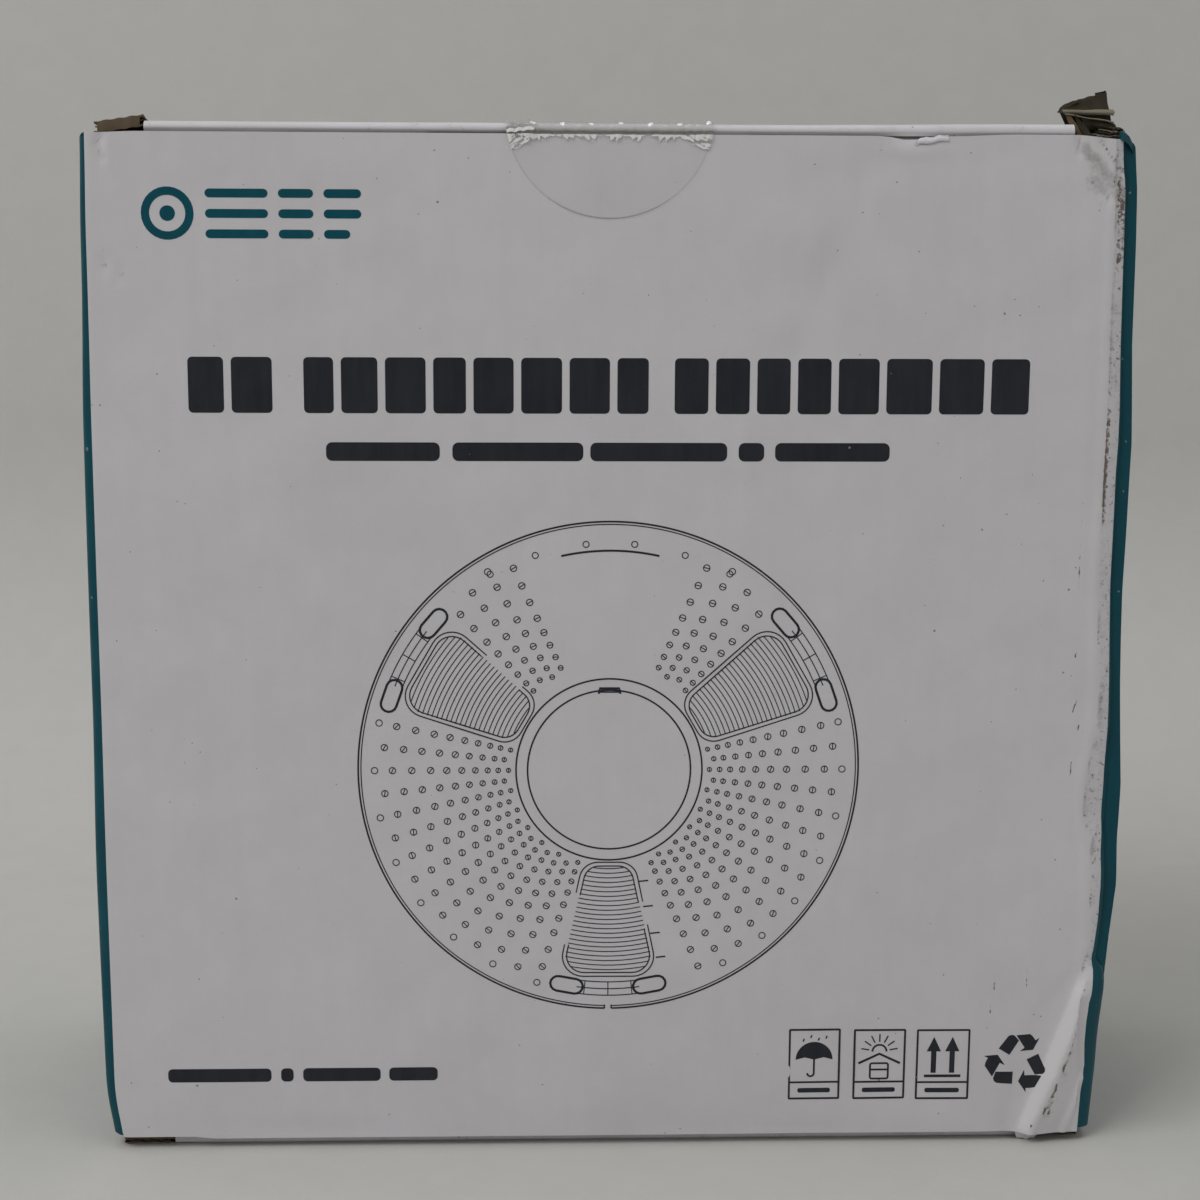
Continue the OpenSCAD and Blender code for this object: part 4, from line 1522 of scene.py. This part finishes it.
def patch(mesh, outline):
    # a filled shape of ink: rings that shrink to its middle, so that it follows the board
    outline = np.asarray(outline, float)
    fine = []
    for here, there in zip(outline, np.roll(outline, -1, axis=0)):
        parts = max(1, math.ceil(math.hypot(*(there - here)) / 1.5))
        fine += [here + (there - here) * k / parts for k in range(parts)]
    outline = np.array(fine)
    middle = (outline.min(axis=0) + outline.max(axis=0)) / 2
    count = len(outline)
    rims = []
    for depth in (-printSet["proud"], printSet["sunk"]):
        shrunk = [middle + (outline - middle) * k for k in (1, 0.75, 0.5, 0.25)]
        rings = [addPoints(mesh, onFront(points, depth)) for points in shrunk]
        heart = addPoints(mesh, onFront(middle[None, :], depth))
        for k in range(count):
            n = (k + 1) % count
            for outer, inner in zip(rings, rings[1:]):
                addFace(mesh, (outer + k, outer + n, inner + n, inner + k))
            addFace(mesh, (rings[-1] + k, rings[-1] + n, heart))
        rims.append(rings[0])
    for k in range(count):
        n = (k + 1) % count
        addFace(mesh, (rims[0] + k, rims[0] + n, rims[1] + n, rims[1] + k))


def arcPath(centre, radius, start, stop, steps=None):
    steps = steps or max(3, int(abs(stop - start) / 360 * 2 * math.pi * radius / 0.9) + 2)
    turn = np.radians(np.linspace(start, stop, steps))
    return np.stack([centre[0] + radius * np.cos(turn), centre[1] + radius * np.sin(turn)], axis=1)


def ringPath(centre, radius, steps=None):
    steps = steps or max(12, int(2 * math.pi * radius / 0.9))
    return arcPath(centre, radius, 0, 360 * (1 - 1 / steps), steps)


def pill(x1, x2, z1, z2, radius):
    # a rounded rectangle as an outline
    radius = min(radius, (x2 - x1) / 2, (z2 - z1) / 2)
    corners = ((x2 - radius, z1 + radius, -90), (x2 - radius, z2 - radius, 0),
               (x1 + radius, z2 - radius, 90), (x1 + radius, z1 + radius, 180))
    return np.concatenate([arcPath((x, z), radius, a, a + 90, 5) for x, z, a in corners])


def roundPath(points, radii, steps=6):
    # a closed outline whose corners are rounded, each to its own radius
    points = [np.array(p, float) for p in points]
    result = []
    for k, corner in enumerate(points):
        before = points[k - 1] - corner
        after = points[(k + 1) % len(points)] - corner
        before, after = before / np.linalg.norm(before), after / np.linalg.norm(after)
        half = math.acos(np.clip(before @ after, -1, 1)) / 2
        centre = corner + (before + after) / np.linalg.norm(before + after) * radii[k] / math.sin(half)
        foot1 = corner + before * radii[k] / math.tan(half) - centre
        foot2 = corner + after * radii[k] / math.tan(half) - centre
        a1 = math.atan2(foot1[1], foot1[0])
        sweep = (math.atan2(foot2[1], foot2[0]) - a1 + math.pi) % (2 * math.pi) - math.pi
        for i in range(steps + 1):
            turn = a1 + sweep * i / steps
            result.append(centre + radii[k] * np.array([math.cos(turn), math.sin(turn)]))
    return np.array(result)


def bars(mesh, words, low, high, radius):
    for x1, x2 in words:
        patch(mesh, pill(x1, x2, low, high, radius))


# teal mark: a ring and rounded bars
markMesh = newMesh()
markX, markZ = printSet["markX"], printSet["markZ"]
stroke(markMesh, ringPath((markX + 5.1, markZ), 4.3), 1.6, closed=True)
patch(markMesh, ringPath((markX + 5.1, markZ), 1.5, 24))
for k, (x1, x2) in enumerate([(12.4, 24.6), (26.6, 33.4), (35.4, 42.7)]):
    for z in (markZ - 3.9, markZ, markZ + 3.9):
        short = 2.2 if z < markZ and k == 2 else 0
        patch(markMesh, pill(markX + x1, markX + x2 - short, z - 0.85, z + 0.85, 0.85))
markPiece = makePiece(markMesh, "printTealMark", [inkTeal], sharp=30)
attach(markPiece, "carton")

# heading: words stood in for by rows of rounded blocks
headMesh = newMesh()
for x1, x2, count in printSet["headingWords"]:
    shares = [draw.uniform(0.75, 1.2) for _ in range(count)]
    gap = 1.5
    unit = (x2 - x1 - gap * (count - 1)) / sum(shares)
    x = x1
    for share in shares:
        patch(headMesh, pill(x, x + share * unit, printSet["headingLow"], printSet["headingHigh"], 0.9))
        x += share * unit + gap
headPiece = makePiece(headMesh, "printHeading", [inkDark], sharp=30)
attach(headPiece, "carton")

lineMesh = newMesh()
for words, middle, tall in (
    (printSet["subtitleWords"], printSet["subtitleZ"], printSet["subtitleTall"]),
    (printSet["captionWords"], printSet["captionZ"], printSet["captionTall"]),
):
    bars(lineMesh, words, middle - tall / 2, middle + tall / 2, tall * 0.32)
linePiece = makePiece(lineMesh, "printSmallLines", [inkDark], sharp=30)
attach(linePiece, "carton")


# handling symbols in frames
def iconFrame(mesh, x1, x2, z1, z2):
    stroke(mesh, pill(x1, x2, z1, z2, 0.12), 0.42, closed=True)
    stroke(mesh, [(x1, z1 + 3.6), (x2, z1 + 3.6)], 0.4)
    patch(mesh, pill(x1 + 1.8, x2 - 1.8, z1 + 1.3, z1 + 2.3, 0.4))


iconMesh = newMesh()
# umbrella under drops
ux, uz = 44.0, 18.4
iconFrame(iconMesh, 38.8, 49.3, 9.8, 25.0)
umbrellaHem = [(ux - 2.0, uz + 0.5), (ux, uz), (ux + 2.0, uz + 0.5)]
patch(iconMesh, np.concatenate([arcPath((ux, uz), 3.9, 0, 180, 18), umbrellaHem]))
stroke(iconMesh, [(ux, uz + 0.2), (ux, uz - 3.0)], 0.4)
stroke(iconMesh, arcPath((ux - 0.7, uz - 3.0), 0.7, -180, 0, 8), 0.4)
for k, lift in ((-2.4, 4.6), (-0.8, 5.4), (0.8, 4.8), (2.4, 5.2)):
    stroke(iconMesh, [(ux + k, uz + lift - 0.6), (ux + k + 0.25, uz + lift)], 0.3)
# sun over a shelter
sx, sz = 57.8, 20.0
iconFrame(iconMesh, 52.5, 63.1, 9.7, 24.8)
stroke(iconMesh, arcPath((sx, sz), 1.5, 0, 180, 12), 0.4)
for k in range(7):
    turn = math.radians(10 + k * 160 / 6)
    stroke(iconMesh, [(sx + r * math.cos(turn), sz + r * math.sin(turn)) for r in (2.2, 3.9)], 0.28)
stroke(iconMesh, [(sx - 4.4, sz - 2.6), (sx, sz - 0.5), (sx + 4.4, sz - 2.6)], 0.5)
stroke(iconMesh, pill(sx - 1.9, sx + 1.9, sz - 6.0, sz - 2.6, 0.4), 0.4, closed=True)
stroke(iconMesh, [(sx - 1.9, sz - 4.0), (sx + 1.9, sz - 4.0)], 0.4)
# this way up
iconFrame(iconMesh, 65.8, 76.7, 9.5, 24.7)
for ax in (69.3, 73.2):
    patch(iconMesh, [(ax - 1.5, 20.0), (ax + 1.5, 20.0), (ax, 23.2)])
    patch(iconMesh, pill(ax - 0.55, ax + 0.55, 15.2, 20.1, 0.1))
stroke(iconMesh, [(67.4, 14.5), (75.1, 14.5)], 0.6)

# three folded arrows that follow each other round a triangle
tx, tz = 86.9, 17.45
foldedArrow = [
    [(-4.0, 3.2), (-2.0, 6.0), (-1.4, 6.3), (-0.7, 6.2), (0.4, 5.0), (-1.6, 1.7)],
    [(-0.2, 6.2), (2.8, 6.4), (3.4, 5.9), (4.1, 4.9), (1.75, 3.2)],
    [(4.9, 5.5), (3.6, 2.75), (0.7, 2.5)],
]
for k in range(3):
    turn = math.radians(-120 * k)
    spin = np.array([[math.cos(turn), -math.sin(turn)], [math.sin(turn), math.cos(turn)]])
    for part in foldedArrow:
        patch(iconMesh, (np.array(part) * 0.965) @ spin.T + (tx, tz))
iconPiece = makePiece(iconMesh, "printSymbols", [inkDark], sharp=30)
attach(iconPiece, "carton")


# line drawing of a spool
drawing = newMesh()
centre, bigR = printSet["drawingCentre"], printSet["drawingR"]
for share, wide in ((1, 0.36), (0.989, 0.22)):
    stroke(drawing, arcPath(centre, bigR * share, -89.2, 269.2), wide)
for side in (-1, 1):
    x = centre[0] + side * 0.7
    stroke(drawing, [(x, centre[1] - bigR), (x, centre[1] - 0.985 * bigR)], 0.3)
for share in (0.372, 0.326):
    stroke(drawing, ringPath(centre, bigR * share), 0.34, closed=True)
tabTop = centre[1] + bigR * 0.333
hubTab = [(-2.2, -1.1), (-2.0, 0), (2.0, 0), (2.2, -1.1)]
stroke(drawing, [(centre[0] + x, tabTop + z) for x, z in hubTab], 0.5)
stroke(drawing, [(centre[0] - 2.0, tabTop - 0.75), (centre[0] + 2.0, tabTop - 0.75)], 0.3)
stroke(drawing, arcPath(centre, bigR * 0.885, 77.4, 102.6), 0.42)


def onDisc(share, ray):
    return np.array(centre) + bigR * share * np.array([math.cos(ray), math.sin(ray)])


plainDots = [(0.915, a) for a in (84, 96, 71.2, 108.8)] + [(0.922, a) for a in (59.2, 120.8)]
for share, turn in plainDots:
    stroke(drawing, ringPath(onDisc(share, math.radians(turn)), 0.62, 14), 0.2, closed=True)
# rows of holes, as shares of the radius
evenRow = [0.402, 0.443, 0.485, 0.534, 0.588, 0.648, 0.712, 0.787, 0.864, 0.935]
oddRow = [0.421, 0.460, 0.508, 0.561, 0.617, 0.680, 0.750, 0.823, 0.900]
for side in (-1, 1):
    rowTurns = [6 * k for k in range(-11, 3)] + [47, 53, 59, 65] + ([-72] if side < 0 else [])
    for number, turn in enumerate(rowTurns):
        even = (turn % 12 == 0) if turn < 40 else turn in (47, 59)
        row = evenRow if even else oddRow
        for share in row:
            if (turn > 40 and share < 0.43) or (turn in (47, 53) and share > 0.9):
                continue
            growth = math.sin(min(1.0, (share - 0.4) / 0.3) * math.pi / 2)
            radius = bigR * (0.0098 + 0.0052 * growth)
            ray = math.radians(turn if side > 0 else 180 - turn)
            at = onDisc(share, ray)
            stroke(drawing, ringPath(at, radius * 0.86, 14), 0.2, closed=True)
            if share < 0.93:
                tilt = ray * 0.9 + math.pi / 2 + 0.35 * math.sin(7 * share + turn)
                way = radius * 0.8 * np.array([math.cos(tilt), math.sin(tilt)])
                stroke(drawing, [at - way, at + way], 0.2)


def windowDrawing(turn):
    ray = math.radians(turn)
    spin = np.array([[math.cos(ray), -math.sin(ray)], [math.sin(ray), math.cos(ray)]])

    def placed(points):
        return np.asarray(points, float) @ spin.T * bigR + centre

    # the window's double edge: near and far radius, half widths there, and the corners' radii
    for near, far, small, large, cornerNear, cornerFar in (
        (0.382, 0.864, 0.104, 0.205, 0.075, 0.085),
        (0.398, 0.848, 0.088, 0.186, 0.062, 0.072),
    ):
        outline = [(near, -small), (near, small), (far, large), (far, -large)]
        radii = (cornerNear, cornerNear, cornerFar, cornerFar)
        stroke(drawing, placed(roundPath(outline, radii, 8)), 0.26, closed=True)
    for k in range(23):
        radius = 0.409 + 0.0194 * k
        half = 0.088 + (radius - 0.398) / 0.45 * 0.098
        nearEnd = max(0.0, 0.45 - radius) / 0.052, max(0.0, radius - 0.786) / 0.062
        half -= 0.05 * max(nearEnd) ** 2
        reach = math.degrees(math.asin(half / radius))
        stroke(drawing, placed(arcPath((0, 0), radius, -reach, reach, 10)), 0.2)
    # slot outside the window: two rounded ends joined by arcs
    low, high = 0.885, 0.948
    mid, half = (low + high) / 2, (high - low) / 2
    for side in (-1, 1):
        caps = []
        for end, sweep in ((12.8, 1), (8.4, -1)):
            angle = math.radians(side * end)
            middle = np.array([mid * math.cos(angle), mid * math.sin(angle)])
            first = 0 if sweep > 0 else 180
            caps.append(arcPath(middle, half, side * end + first, side * end + first + 180 * side, 8))
        stroke(drawing, placed(np.concatenate(caps)), 0.5, closed=True)
    for radius in (0.888, 0.917, 0.945):
        stroke(drawing, placed(arcPath((0, 0), radius, -8.0, 8.0, 16)), 0.22)
    for mark in (-6, 0, 6):
        angle = math.radians(mark)
        ends = [(r * math.cos(angle), r * math.sin(angle)) for r in (0.888, 0.945)]
        stroke(drawing, placed(ends), 0.2)


for turn in (30, 150, 270):
    windowDrawing(turn)
for x, z in ((7.7, 57.8), (8.7, 52.4), (10.2, 46.6), (11.4, 41.4)):
    stroke(drawing, [(x - 1.0, z - 0.1), (x + 1.0, z + 0.1)], 0.3)
drawingPiece = makePiece(drawing, "printSpoolDrawing", [inkDark], sharp=30)
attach(drawingPiece, "carton")
print("print done")


# Clear sealing disc, folded over the tuck's roll and onto the front
sealSet = {
    "radius": 20.5,
    "back": 4.25,
    "thick": 0.06,
    "lift": 0.06,
    "across": 170,
    "step": 0.22,
}
sealBend = (tuckFold[1] - 0.3, boxH + sealSet["lift"])
sealCorner = (-halfD - sealSet["lift"], panelTop + 0.28)
slopeLength = math.hypot(sealCorner[0] - sealBend[0], sealCorner[1] - sealBend[1])


def sealHalf(t):
    radius = sealSet["radius"]
    below = np.clip(t - (slopeLength - sealSet["back"]), 0, None)
    behind = np.clip(-sealSet["back"] - t, 0, None)
    return np.sqrt(np.clip(radius ** 2 - below ** 2 - behind ** 2, 1e-4, None))


def sealPlace(u, t, h):
    # t runs from the lid over the slope and down the front
    x = u * sealHalf(t)
    k = np.clip(t / slopeLength, 0, 1)
    y = np.where(t < 0, sealBend[0] - t, sealBend[0] + k * (sealCorner[0] - sealBend[0]))
    z = np.where(t < 0, sealBend[1], sealBend[1] + k * (sealCorner[1] - sealBend[1]))
    z = np.where(t > slopeLength, sealCorner[1] - (t - slopeLength), z)
    onFace = np.clip(t - slopeLength, 0, None)
    atEdge = frontRelief(x, panelTop + 0 * x) * k
    follow = np.where(onFace > 0, frontRelief(x, np.minimum(z, panelTop)), atEdge)
    bow = 0.95 * np.sin(math.pi * k)
    y = y - follow - bow * 0.7
    z = z + bow * 0.7 + 0.45 * ease((t + 2.6) / 2.6) * ease((slopeLength - t) / 1.4)
    pleat = np.exp(-((t - slopeLength * 0.55) / 3.2) ** 2)
    pleat = pleat * (1 - 0.5 * ease((t + 1.5) / -2))
    ends = swell(np.abs(x), 0, 18.0, 0, 3.0, 1)
    gathers = 0.35 * np.abs(np.sin(x * 0.9)) * np.abs(np.sin(x * 0.37 + 1))
    lift = pleat * (gathers + 0.55 * ends * np.abs(np.sin(x * 1.7)))
    bubble = 0.07 * np.maximum(0, np.sin(x * 0.5 + 2) * np.sin(t * 0.55)) * ease(onFace / 3)
    wrinkle = 0.10 * np.abs(np.sin(x * 2.1 + 0.3 * t)) * np.exp(-((t - slopeLength) / 2.4) ** 2)
    away = lift + bubble + wrinkle + sealSet["thick"] - h
    # out of the sheet: up on the lid, forward on the front
    lean = ease((t + 1.5) / (slopeLength + 3.0)) * math.pi / 2
    return np.stack([x, y - away * np.sin(lean), z + away * np.cos(lean)], axis=-1)


nearRadius = sealSet["radius"] * 0.9995
sealRows = merged(
    -sealSet["back"] - nearRadius * np.sin(np.linspace(0, math.pi / 2, 24)),
    span(-sealSet["back"], slopeLength + 3.5, sealSet["step"]),
    slopeLength - sealSet["back"] + nearRadius * np.sin(np.linspace(0.38, math.pi / 2, 26)),
)
seal = newMesh()
u, v = np.meshgrid(np.linspace(-1, 1, sealSet["across"]), sealRows, indexing="ij")
top = sealPlace(u, v, np.zeros_like(u))
low = sealPlace(u, v, np.full_like(u, sealSet["thick"]))
sealX = u * sealHalf(v)
past = v - slopeLength
# painted glints: white where the film is pressed in under the fold
slant = sealX + 0.5 * past * np.sign(sealX + 1)
reach = 0.34 + 1.5 * np.abs(np.sin(slant * 2.3) * np.sin(slant * 0.61 + 1)) ** 1.4
reach = reach + 0.5 * np.abs(np.sin(slant * 5.1 + 2) * np.sin(slant * 1.37))
there = 1.08 + 0.3 * np.sin(sealX * 0.37 + 2.2) * np.sin(sealX * 1.1)
glint = there * np.exp(-((past - 0.1) / reach) ** 2) * ease((past + 0.05) / 0.2)
# fans of painted glints at its two ends
outward = np.abs(sealX) - 12.5
tilted = past * 2.6 - outward * 1.25
rays = np.abs(np.sin(tilted * 1.5 + 0.8 * np.sin(sealX * 1.3)) * np.sin(tilted * 0.7 + sealX))
rays = 0.35 + 0.65 * rays ** 0.7
inFan = ease(outward / 2) * ease((0.4 + outward * 0.5 - past) / 0.5) * ease((past + 0.1) / 0.2)
glint = np.maximum(glint, 1.25 * rays * inFan)
# painted glint streaks on the left, and small painted glint spots along the fold
streak = np.exp(-((v - 1.0 - 0.1 * (sealX + 14)) / 0.3) ** 2)
streak = np.maximum(streak, np.exp(-((v - 1.9 + 0.05 * sealX) / 0.25) ** 2))
glint = np.maximum(glint, 1.5 * ease((-sealX - 13) / 3) * streak)
spots = np.abs(np.sin(sealX * 0.55 + 0.4)) ** 12
glint = np.maximum(glint, 1.35 * spots * np.exp(-((v - 1.9) / 0.4) ** 2))
# painted shade: a dark line round the rim and under the fold, and a darker band over the slope
across = np.hypot(sealX, np.where(past > -sealSet["back"], past + sealSet["back"], 0))
atRim = ease((across - sealSet["radius"] + 0.34) / 0.2) * (past > 0)
paintedRimShade = (0.3 + 0.45 * ease((past - 10) / 6)) * atRim
creaseWide = 0.22 + 0.5 * ease((-sealX - 11) / 8)
paintedRimShade = np.maximum(paintedRimShade, 1.5 * np.exp(-((past + 0.2) / creaseWide) ** 2))
paintedRimShade = np.maximum(paintedRimShade, 0.22 * (v > 0) * (past < 0))
addSheet(seal, top, low, glint, paintedRimShade)
sealPiece = makePiece(seal, "clearSeal", [sealFilm], sharp=25)
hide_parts("top_seal_upper", "top_seal_lower")
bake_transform(sealPiece)
print("seal done")


# Contents. About the spool's axis, r is out and w is along the axis towards the front.

def aboutAxis(r, turn, w):
    return np.stack([
        spoolAxis[0] + r * np.cos(turn),
        spoolAxis[1] - w + 0 * r,
        spoolAxis[2] + r * np.sin(turn),
    ], axis=-1)


windingSet = {
    "inner": 37.4,
    "outer": 82.0,
    "half": 28.1,
    "strand": 1.75,
    "stops": 180,
}
winding = newMesh()
pitch = windingSet["strand"] * 1.01
count = int(2 * windingSet["half"] / pitch)
outline = []
for k in range(count):
    middle = -windingSet["half"] + (k + 0.5) * 2 * windingSet["half"] / count
    for step in range(6):
        angle = math.pi * (step + 0.5) / 6
        outline.append((windingSet["outer"] - windingSet["strand"] / 2 * (1 - math.sin(angle)),
                        middle - windingSet["half"] / count * math.cos(angle)))
rowCount = int((windingSet["outer"] - windingSet["inner"]) / 1.52)
layersDeep = windingSet["outer"] - 1 - windingSet["inner"]
faceRows = []
for k in range(rowCount):
    radius = windingSet["outer"] - 0.9 - (k + 0.5) * layersDeep / rowCount
    for step in (0.7, 0, -0.7):
        faceRows.append((radius + step * 0.7, windingSet["half"] + (0.0 if step == 0 else -0.35)))
outline += faceRows
outline += [(r, -w) for r, w in reversed(faceRows)]
outline = np.array(outline)
rings = []
for turn in np.linspace(0, 2 * math.pi, windingSet["stops"], endpoint=False):
    slip = 0.12 * math.sin(3 * turn) + 0.08 * math.sin(7 * turn + 1)
    rings.append(aboutAxis(outline[:, 0] + 0.1 * math.sin(5 * turn), np.full(len(outline), turn),
                           np.clip(outline[:, 1] + slip * (np.abs(outline[:, 1]) < windingSet["half"] - 1),
                                   -windingSet["half"], windingSet["half"])))
sweepRings(winding, np.array(rings), closed=True)
windingPiece = makePiece(winding, "woundFilament", [filamentPlastic], sharp=60)
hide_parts("filament_winding")
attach(windingPiece, "carton")

# loose end of the filament, from the winding to the rim slot: angle, out and across
tailRoute = [
    (86, 0, 0), (78, 0.03, 0.1), (70, 0.11, 0.22), (62, 0.26, 0.38), (54, 0.48, 0.56),
    (47, 0.7, 0.73), (41, 0.89, 0.88), (36, 0.98, 0.97), (31, 1, 1), (26, 1, 1),
]
tailIn, tailOut = 83.075, 91.08
tailStart, tailEnd = -15.5, -29.8
route = np.array(tailRoute, float)
steps = np.linspace(0, len(route) - 1, 61)
route = np.stack([np.interp(steps, range(len(route)), route[:, k]) for k in range(3)], axis=1)
for _ in range(6):
    route[1:-1] = (route[:-2] + 2 * route[1:-1] + route[2:]) / 4
path = aboutAxis(
    tailIn + route[:, 1] * (tailOut - tailIn), np.radians(route[:, 0]),
    tailStart + route[:, 2] * (tailEnd - tailStart))
ahead = np.gradient(path, axis=0)
ahead = ahead / np.linalg.norm(ahead, axis=1, keepdims=True)
across = np.cross(ahead, (0, 1, 0))
across = across / np.linalg.norm(across, axis=1, keepdims=True)
up = np.cross(across, ahead)
tail = newMesh()
ringTurns = np.linspace(0, 2 * math.pi, 14, endpoint=False)
tailR = windingSet["strand"] / 2
sideways = np.cos(ringTurns)[None, :, None] * across[:, None, :]
upward = np.sin(ringTurns)[None, :, None] * up[:, None, :]
rings = path[:, None, :] + tailR * (sideways + upward)
sweepRings(tail, rings)
tailPiece = makePiece(tail, "filamentEnd", [filamentPlastic])
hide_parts("filament_tail")
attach(tailPiece, "carton")

# desiccant sachet: a filled pillow with crimped seams
sachetLow, sachetHigh = boxOf("desiccant_sachet")
sachetMid = (sachetLow + sachetHigh) / 2
sachetHalf = (sachetHigh - sachetLow) / 2
sachet = newMesh()


def sachetPlace(u, v, side):
    edge = np.maximum(np.abs(u), np.abs(v))
    seam = ease((1 - np.abs(v)) / 0.16) * ease((1 - np.abs(u)) / 0.2)
    beads = 0.25 * np.sin(u * 19 + 2 * v) * np.sin(v * 23 + u) * seam
    thick = (0.12 + 0.82 * seam * (1 - 0.25 * edge ** 4)) * sachetHalf[2] + beads
    crimp = 0.12 * np.sin(v * 190) * (1 - seam)
    narrow = 1 - 0.035 * seam * (1 - v ** 2)
    x = sachetMid[0] + u * sachetHalf[0] * narrow
    y = sachetMid[1] + v * sachetHalf[1] * (1 - 0.03 * (1 - u ** 2))
    z = sachetMid[2] + side * np.minimum(thick, sachetHalf[2]) + crimp
    return np.stack([x, y, z], axis=-1)


u, v = np.meshgrid(np.linspace(-1, 1, 54), np.linspace(-1, 1, 74), indexing="ij")
addSheet(sachet, sachetPlace(u, v, 1), sachetPlace(u, v, -1))
sachetPiece = makePiece(sachet, "desiccantSachet", [sachetPaper], sharp=70)
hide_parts("desiccant_sachet")
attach(sachetPiece, "carton")

# barrier bag: one thin skin drawn in over the rim, across the windows and into the hub
bagSet = {
    "radius": 99.6,
    "half": 31.6,
    "film": 0.14,
    "rimSag": 6.5,
    "hubSag": 5.0,
    "windowSag": 1.0,
    "gatherSag": 0.14,
    "turns": 560,
}
# radii on a face, and shares of the half width on the rim
bagRadii = [0.5, 6, 12, 18, 24, 29, 32.5, 36, 42, 50, 58, 66, 74, 82, 88, 92, 95.5, 98, 99.2]
bagRim = [0.985, 0.95, 0.9, 0.8, 0.65, 0.45, 0.25, 0.0]
bag = newMesh()
turns = np.linspace(0, 2 * math.pi, bagSet["turns"], endpoint=False)


def bagRings(inset):
    rings = []
    for turn in turns:
        ring = []
        window = max(0.0, math.cos(3 * (turn - math.pi / 6))) ** 3
        gather = 0.5 + 0.5 * math.sin(37 * turn + 2 * math.sin(5 * turn))
        pleat = abs(math.sin(26 * turn + 1.5 * math.sin(7 * turn))) ** 0.6
        for side in (1, -1):
            part = []
            for r in bagRadii:
                sag = bagSet["hubSag"] * float(ease((31.5 - r) / 20))
                if side < 0:
                    # the front half turns under the film, so it dips into the rear windows only
                    sag += bagSet["windowSag"] * window * float(ease((r - 40) / 9) * ease((86 - r) / 9))
                sag += bagSet["gatherSag"] * gather * float(ease((r - 26) / 10) * ease((99 - r) / 10))
                part.append((r, side * (bagSet["half"] - sag - inset)))
            for share in bagRim:
                dip = bagSet["rimSag"] * (1 - share ** 2) * (0.5 + 0.2 * gather + 0.4 * pleat)
                dip *= float(ease((1 - share) / 0.25))
                part.append((bagSet["radius"] - dip - inset, side * share * (bagSet["half"] - inset)))
            ring += part if side > 0 else part[-2::-1]
        ring = np.array(ring)
        rings.append(aboutAxis(ring[:, 0], np.full(len(ring), turn), ring[:, 1]))
    return np.array(rings)


for inset in (0.0, bagSet["film"]):
    rings = bagRings(inset)
    stops, sides = rings.shape[:2]
    start = addPoints(bag, rings)
    for i in range(stops):
        here, there = start + i * sides, start + ((i + 1) % stops) * sides
        for k in range(sides - 1):
            addFace(bag, (here + k, here + k + 1, there + k + 1, there + k))
    for k in (0, sides - 1):
        addFace(bag, [start + i * sides + k for i in range(stops)])
bagPiece = makePiece(bag, "barrierBag", [bagFilm], sharp=60)
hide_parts("bag_front_film", "bag_rear_film")
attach(bagPiece, "carton")

# the spool's halves keep their frame meshes
for node in ("spool_rear_half", "spool_front_half"):
    half = frame["nodes"][node]
    half.data.materials.clear()
    half.data.materials.append(spoolPlastic)
print("contents done")


# Floor, wall and light

studioSet = {
    "paper": (0.62, 0.615, 0.59),
    "paperMottle": (0.605, 0.60, 0.575),
    "key": 8.2,
    "fill": 1.2,
    "top": 3.2,
    "world": 0.26,
    "worldColour": (1.0, 1.0, 0.985),
    "reach": 1500.0,
}


def paperFinish(name, oneSided):
    material, tree, shader, place = newMaterial(name)
    grain = useGroup(tree, grainGroup, {"Vector": place, "Strength": 1.0})
    mottle = remap(tree, grain["Mottle"], 0.35, 0.65)
    colour = blendColour(tree, mottle, rgba(studioSet["paper"]), rgba(studioSet["paperMottle"]))
    tree.links.new(colour, shader.inputs["Base Color"])
    shader.inputs["Roughness"].default_value = 0.8
    addBump(tree, shader, 0.2, 0.0003, grain["Height"])
    if oneSided:
        # the wall can't be seen from behind, so views from there look through it
        behind = put(tree, "ShaderNodeNewGeometry").outputs["Backfacing"]
        tree.links.new(calc(tree, "SUBTRACT", 1.0, behind), shader.inputs["Alpha"])
    return material


def studioSheet(name, outline, oneSided=False):
    sheet = newMesh()
    reach = studioSet["reach"]
    left, right = (addPoints(sheet, [(x, y, z - 0.02) for y, z in outline]) for x in (-reach, reach))
    for k in range(len(outline) - 1):
        addFace(sheet, (left + k, right + k, right + k + 1, left + k + 1))
    piece = makePiece(sheet, name, [paperFinish(name + "Paper", oneSided)])
    if oneSided:
        piece.data.flip_normals()
    piece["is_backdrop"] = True


reach = studioSet["reach"]
curve = [(160 + 120 * math.sin(a), 120 - 120 * math.cos(a)) for a in np.linspace(0.0, math.pi / 2, 13)]
studioSheet("studioFloor", [(-reach, 0.0), (0.0, 0.0), (160.0, 0.0), (reach, -0.3)])
studioSheet("studioWall", curve + [(280.0, 300.0), (280.0, reach)], oneSided=True)


def areaLight(name, place, size, power):
    # a rectangle of light, in metres, aimed at the middle of the carton
    data = bpy.data.lights.new(name, "AREA")
    data.shape = "RECTANGLE"
    data.size, data.size_y = size
    data.energy = power
    lamp = bpy.data.objects.new(name, data)
    scene.collection.objects.link(lamp)
    lamp.location = place
    aim = Vector((0, 0, 0.1)) - Vector(place)
    lamp.rotation_euler = aim.to_track_quat("-Z", "Y").to_euler()


areaLight("keyLight", (-0.75, -0.62, 1.25), (0.9, 0.7), studioSet["key"])
areaLight("fillLight", (1.0, -0.9, 0.6), (0.8, 0.8), studioSet["fill"])
areaLight("topLight", (0.1, 0.15, 1.3), (1.2, 0.8), studioSet["top"])
world = bpy.data.worlds.new("studio") if scene.world is None else scene.world
scene.world = world
world.use_nodes = True
background = world.node_tree.nodes["Background"].inputs
background["Color"].default_value = rgba(studioSet["worldColour"])
background["Strength"].default_value = studioSet["world"]
scene.view_settings.view_transform = "Standard"
print("studio done")

low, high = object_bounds()
